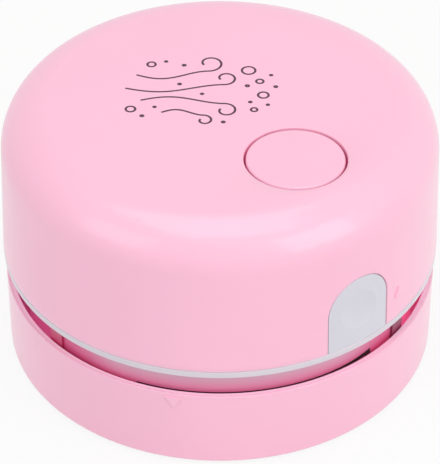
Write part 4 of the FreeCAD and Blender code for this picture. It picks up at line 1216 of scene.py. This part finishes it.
@dataclass
class Brush:
    """Two strips of short bristle tufts beside the suction slot."""

    half_length: float = 18.0 * MM
    middle: float = 6.4 * MM
    width: float = 1.6 * MM
    tip: float = 0.15 * MM
    back: float = 1.6 * MM
    backing: float = 0.45 * MM
    backing_edge: float = 0.08 * MM
    pitch: float = 0.72 * MM
    hairs: int = 5
    hair_sides: int = 5
    hair: float = 0.11 * MM
    hair_tip: float = 0.066 * MM
    spread: float = 0.1 * MM
    lean: float = 0.144 * MM

    def backing_strip(self) -> bpy.types.Object:
        """Model the strip that holds the tufts."""
        piece = Workpiece("brush_bristles")
        bpy.ops.mesh.primitive_cube_add(size=1, location=(0, -self.middle, self.back - self.backing / 2))
        bpy.ops.transform.resize(value=(2 * self.half_length, self.width, self.backing))
        bpy.ops.mesh.bevel(offset=self.backing_edge, segments=2, affect="EDGES")
        return piece.done(sharp=35.0)

    def tufts(self) -> bpy.types.Object:
        """Model two tufts side by side, whose hairs lean apart, and repeat them along the strip."""
        piece = Workpiece("brush_tufts")
        root = self.back - self.backing
        middle = (root + self.tip) / 2
        for row in (-self.width / 4, self.width / 4):
            first = (-self.half_length + self.pitch / 2, -self.middle + row)
            for turn in (2 * math.pi * k / self.hairs for k in range(self.hairs)):
                bpy.ops.mesh.primitive_cone_add(
                    vertices=self.hair_sides,
                    radius1=self.hair_tip,
                    radius2=self.hair,
                    depth=root - self.tip,
                    location=(*circle(first, self.spread, turn), middle),
                )
                lean = Vector((*circle((0.0, 0.0), self.lean, turn), 0.0))
                piece.move(lambda place: place + lean if place.z < middle else place)
        piece.modify(
            "ARRAY",
            count=int(2 * self.half_length / self.pitch),
            use_relative_offset=False,
            use_constant_offset=True,
            constant_offset_displace=(self.pitch, 0, 0),
        )
        return piece.done(sharp=35.0)

    def build(self) -> None:
        """Model one brush and mirror it to the slot's other side."""
        backing = self.backing_strip()
        pick_alone(self.tufts(), backing)
        bpy.ops.object.join()
        modifier = backing.modifiers.new("mirror", "MIRROR")
        modifier.use_axis = (False, True, False)
        bpy.ops.object.modifier_apply(modifier=modifier.name)
        hand_over(backing, "dust_cup", "bristle", "brush_strips")


# --- studio ---


@dataclass(frozen=True)
class Softbox:
    """Large rectangular lamp that cameras don't see; its face is glow times as bright as white."""

    name: str
    place: Point
    width: float
    height: float
    glow: float


@dataclass
class Studio:
    """Camera, soft lamps and the pale floor."""

    camera_place: Point = (-37.4, 38.08, 0.446)
    target_height: float = 0.0228
    lens: float = 175.7
    sensor: float = 36.0
    clip: Pair = (0.01, 20.0)
    floor_radius: float = 4.0
    floor_steps: int = 64
    floor_grey: float = 0.8
    floor_roughness: float = 0.9
    floor_whiteness: float = 0.88
    room_light: float = 0.58
    lamp_colour: Colour = (1.0, 0.99, 0.94)
    lamps: tuple[Softbox, ...] = (
        Softbox("overhead", (-18.0, 81.0, 1.0), width=0.85, height=0.85, glow=1.6),
        Softbox("door", (17.0, 24.0, 1.0), width=0.6, height=0.66, glow=2.1),
        Softbox("left_fill", (-85.0, 25.0, 1.2), width=0.7, height=0.7, glow=1.25),
    )

    def put(self, name: str, data: bpy.types.ID, place: Point) -> bpy.types.Object:
        """Put a camera or lamp somewhere round the drum and point it at the drum's middle.

        Args:
            name: of the new object.
            data: the camera or lamp.
            place: degrees from -Y towards +X, degrees above the floor, and metres from the middle.

        Returns:
            The new object.
        """
        azimuth, elevation, distance = place
        thing = bpy.data.objects.new(name, data)
        bpy.context.scene.collection.objects.link(thing)
        tilt = math.radians(elevation)
        target = Vector((0, 0, self.target_height))
        arm = Vector(around_axis(azimuth, distance * math.cos(tilt), distance * math.sin(tilt)))
        thing.location = target + arm
        thing.rotation_euler = (-arm).to_track_quat("-Z", "Y").to_euler()
        return thing

    def camera(self) -> None:
        """Set up the camera."""
        data = bpy.data.cameras.new("camera")
        data.lens = self.lens
        data.sensor_fit = "AUTO"
        data.sensor_width = self.sensor
        data.clip_start, data.clip_end = self.clip
        bpy.context.scene.camera = self.put("camera", data, self.camera_place)

    def hang(self, lamp: Softbox) -> None:
        """Hang one lamp."""
        data = bpy.data.lights.new(lamp.name, "AREA")
        data.shape = "RECTANGLE"
        data.size, data.size_y = lamp.width, lamp.height
        data.energy = lamp.glow * math.pi * lamp.width * lamp.height
        data.color = self.lamp_colour
        self.put(lamp.name, data, lamp.place).visible_camera = False

    def world(self) -> None:
        """Light everything evenly from a pale sky that the camera sees as white."""
        world = bpy.data.worlds.new("room")
        bpy.context.scene.world = world
        world.use_nodes = True
        board = NodeBoard(world.node_tree)
        skies = []
        for strength in (self.room_light, 1.0):
            sky = board.fill(board.add("Background"), Color=(1, 1, 1), Strength=strength)
            skies.append(sky.outputs["Background"])
        board.fill(board.add("OutputWorld"), Surface=board.mix(board.sight(), *skies))

    def floor(self) -> None:
        """Lay a pale floor that keeps the drum's shadow."""
        size = {"vertices": self.floor_steps, "radius": self.floor_radius}
        bpy.ops.mesh.primitive_circle_add(**size, fill_type="NGON")
        floor = bpy.context.object
        floor.name = "floor"
        board = FinishBoard("floor")
        board.set(Base_Color=(self.floor_grey,) * 3, Specular_IOR_Level=0.0)
        board.set(Roughness=self.floor_roughness)
        bright = board.fill(board.add("Emission"), Strength=1.0).outputs["Emission"]
        share = board.times(board.sight(), self.floor_whiteness)
        board.fill(board.output, Surface=board.mix(share, board.shader.outputs["BSDF"], bright))
        floor.data.materials.append(board.material)
        floor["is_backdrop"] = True

    def set_up(self) -> None:
        """Make the whole studio."""
        bpy.context.scene.view_settings.view_transform = "Standard"
        self.camera()
        self.world()
        self.floor()
        for lamp in self.lamps:
            self.hang(lamp)


def marks(cover: Cover) -> Iterator[Mark]:
    """Give the lock's two marks: one on the cover beside the tab, and one on the cup."""
    cup_radius = 42.2 * MM
    yield Mark(
        "cover_mark",
        body="cover",
        finish="pink_shell",
        azimuth=14.1,
        width=2.4 * MM,
        base=28.6 * MM,
        tip=30.6 * MM,
        wall=cover.radius_at,
        proud=0.36 * MM,
    )
    yield Mark(
        "cup_mark",
        body="dust_cup",
        finish="pink_cup",
        azimuth=-49.2,
        width=3.7 * MM,
        base=16.6 * MM,
        tip=13.7 * MM,
        wall=lambda height: cup_radius,
    )


def corners(pair: Iterable[Vector]) -> list[list[float]]:
    """Write a box as plain lists."""
    return [list(corner) for corner in pair]


def main() -> None:
    """Build the studio and every sub-assembly, and work out the model's size before and after."""
    logging.basicConfig(level=logging.INFO, format="%(name)s: %(message)s")
    packed = corners(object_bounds())
    Studio().set_up()
    dress_nodes()
    cover = Cover()
    front = (cover, *marks(cover), TabFace(cover.radius_at))
    for part in (*front, ExhaustShadeStrip(), PressSpring(), LidPrint(), Brush()):
        part.build()
    {"cad": packed, "visual": corners(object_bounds())}


if __name__ == "__main__":
    main()
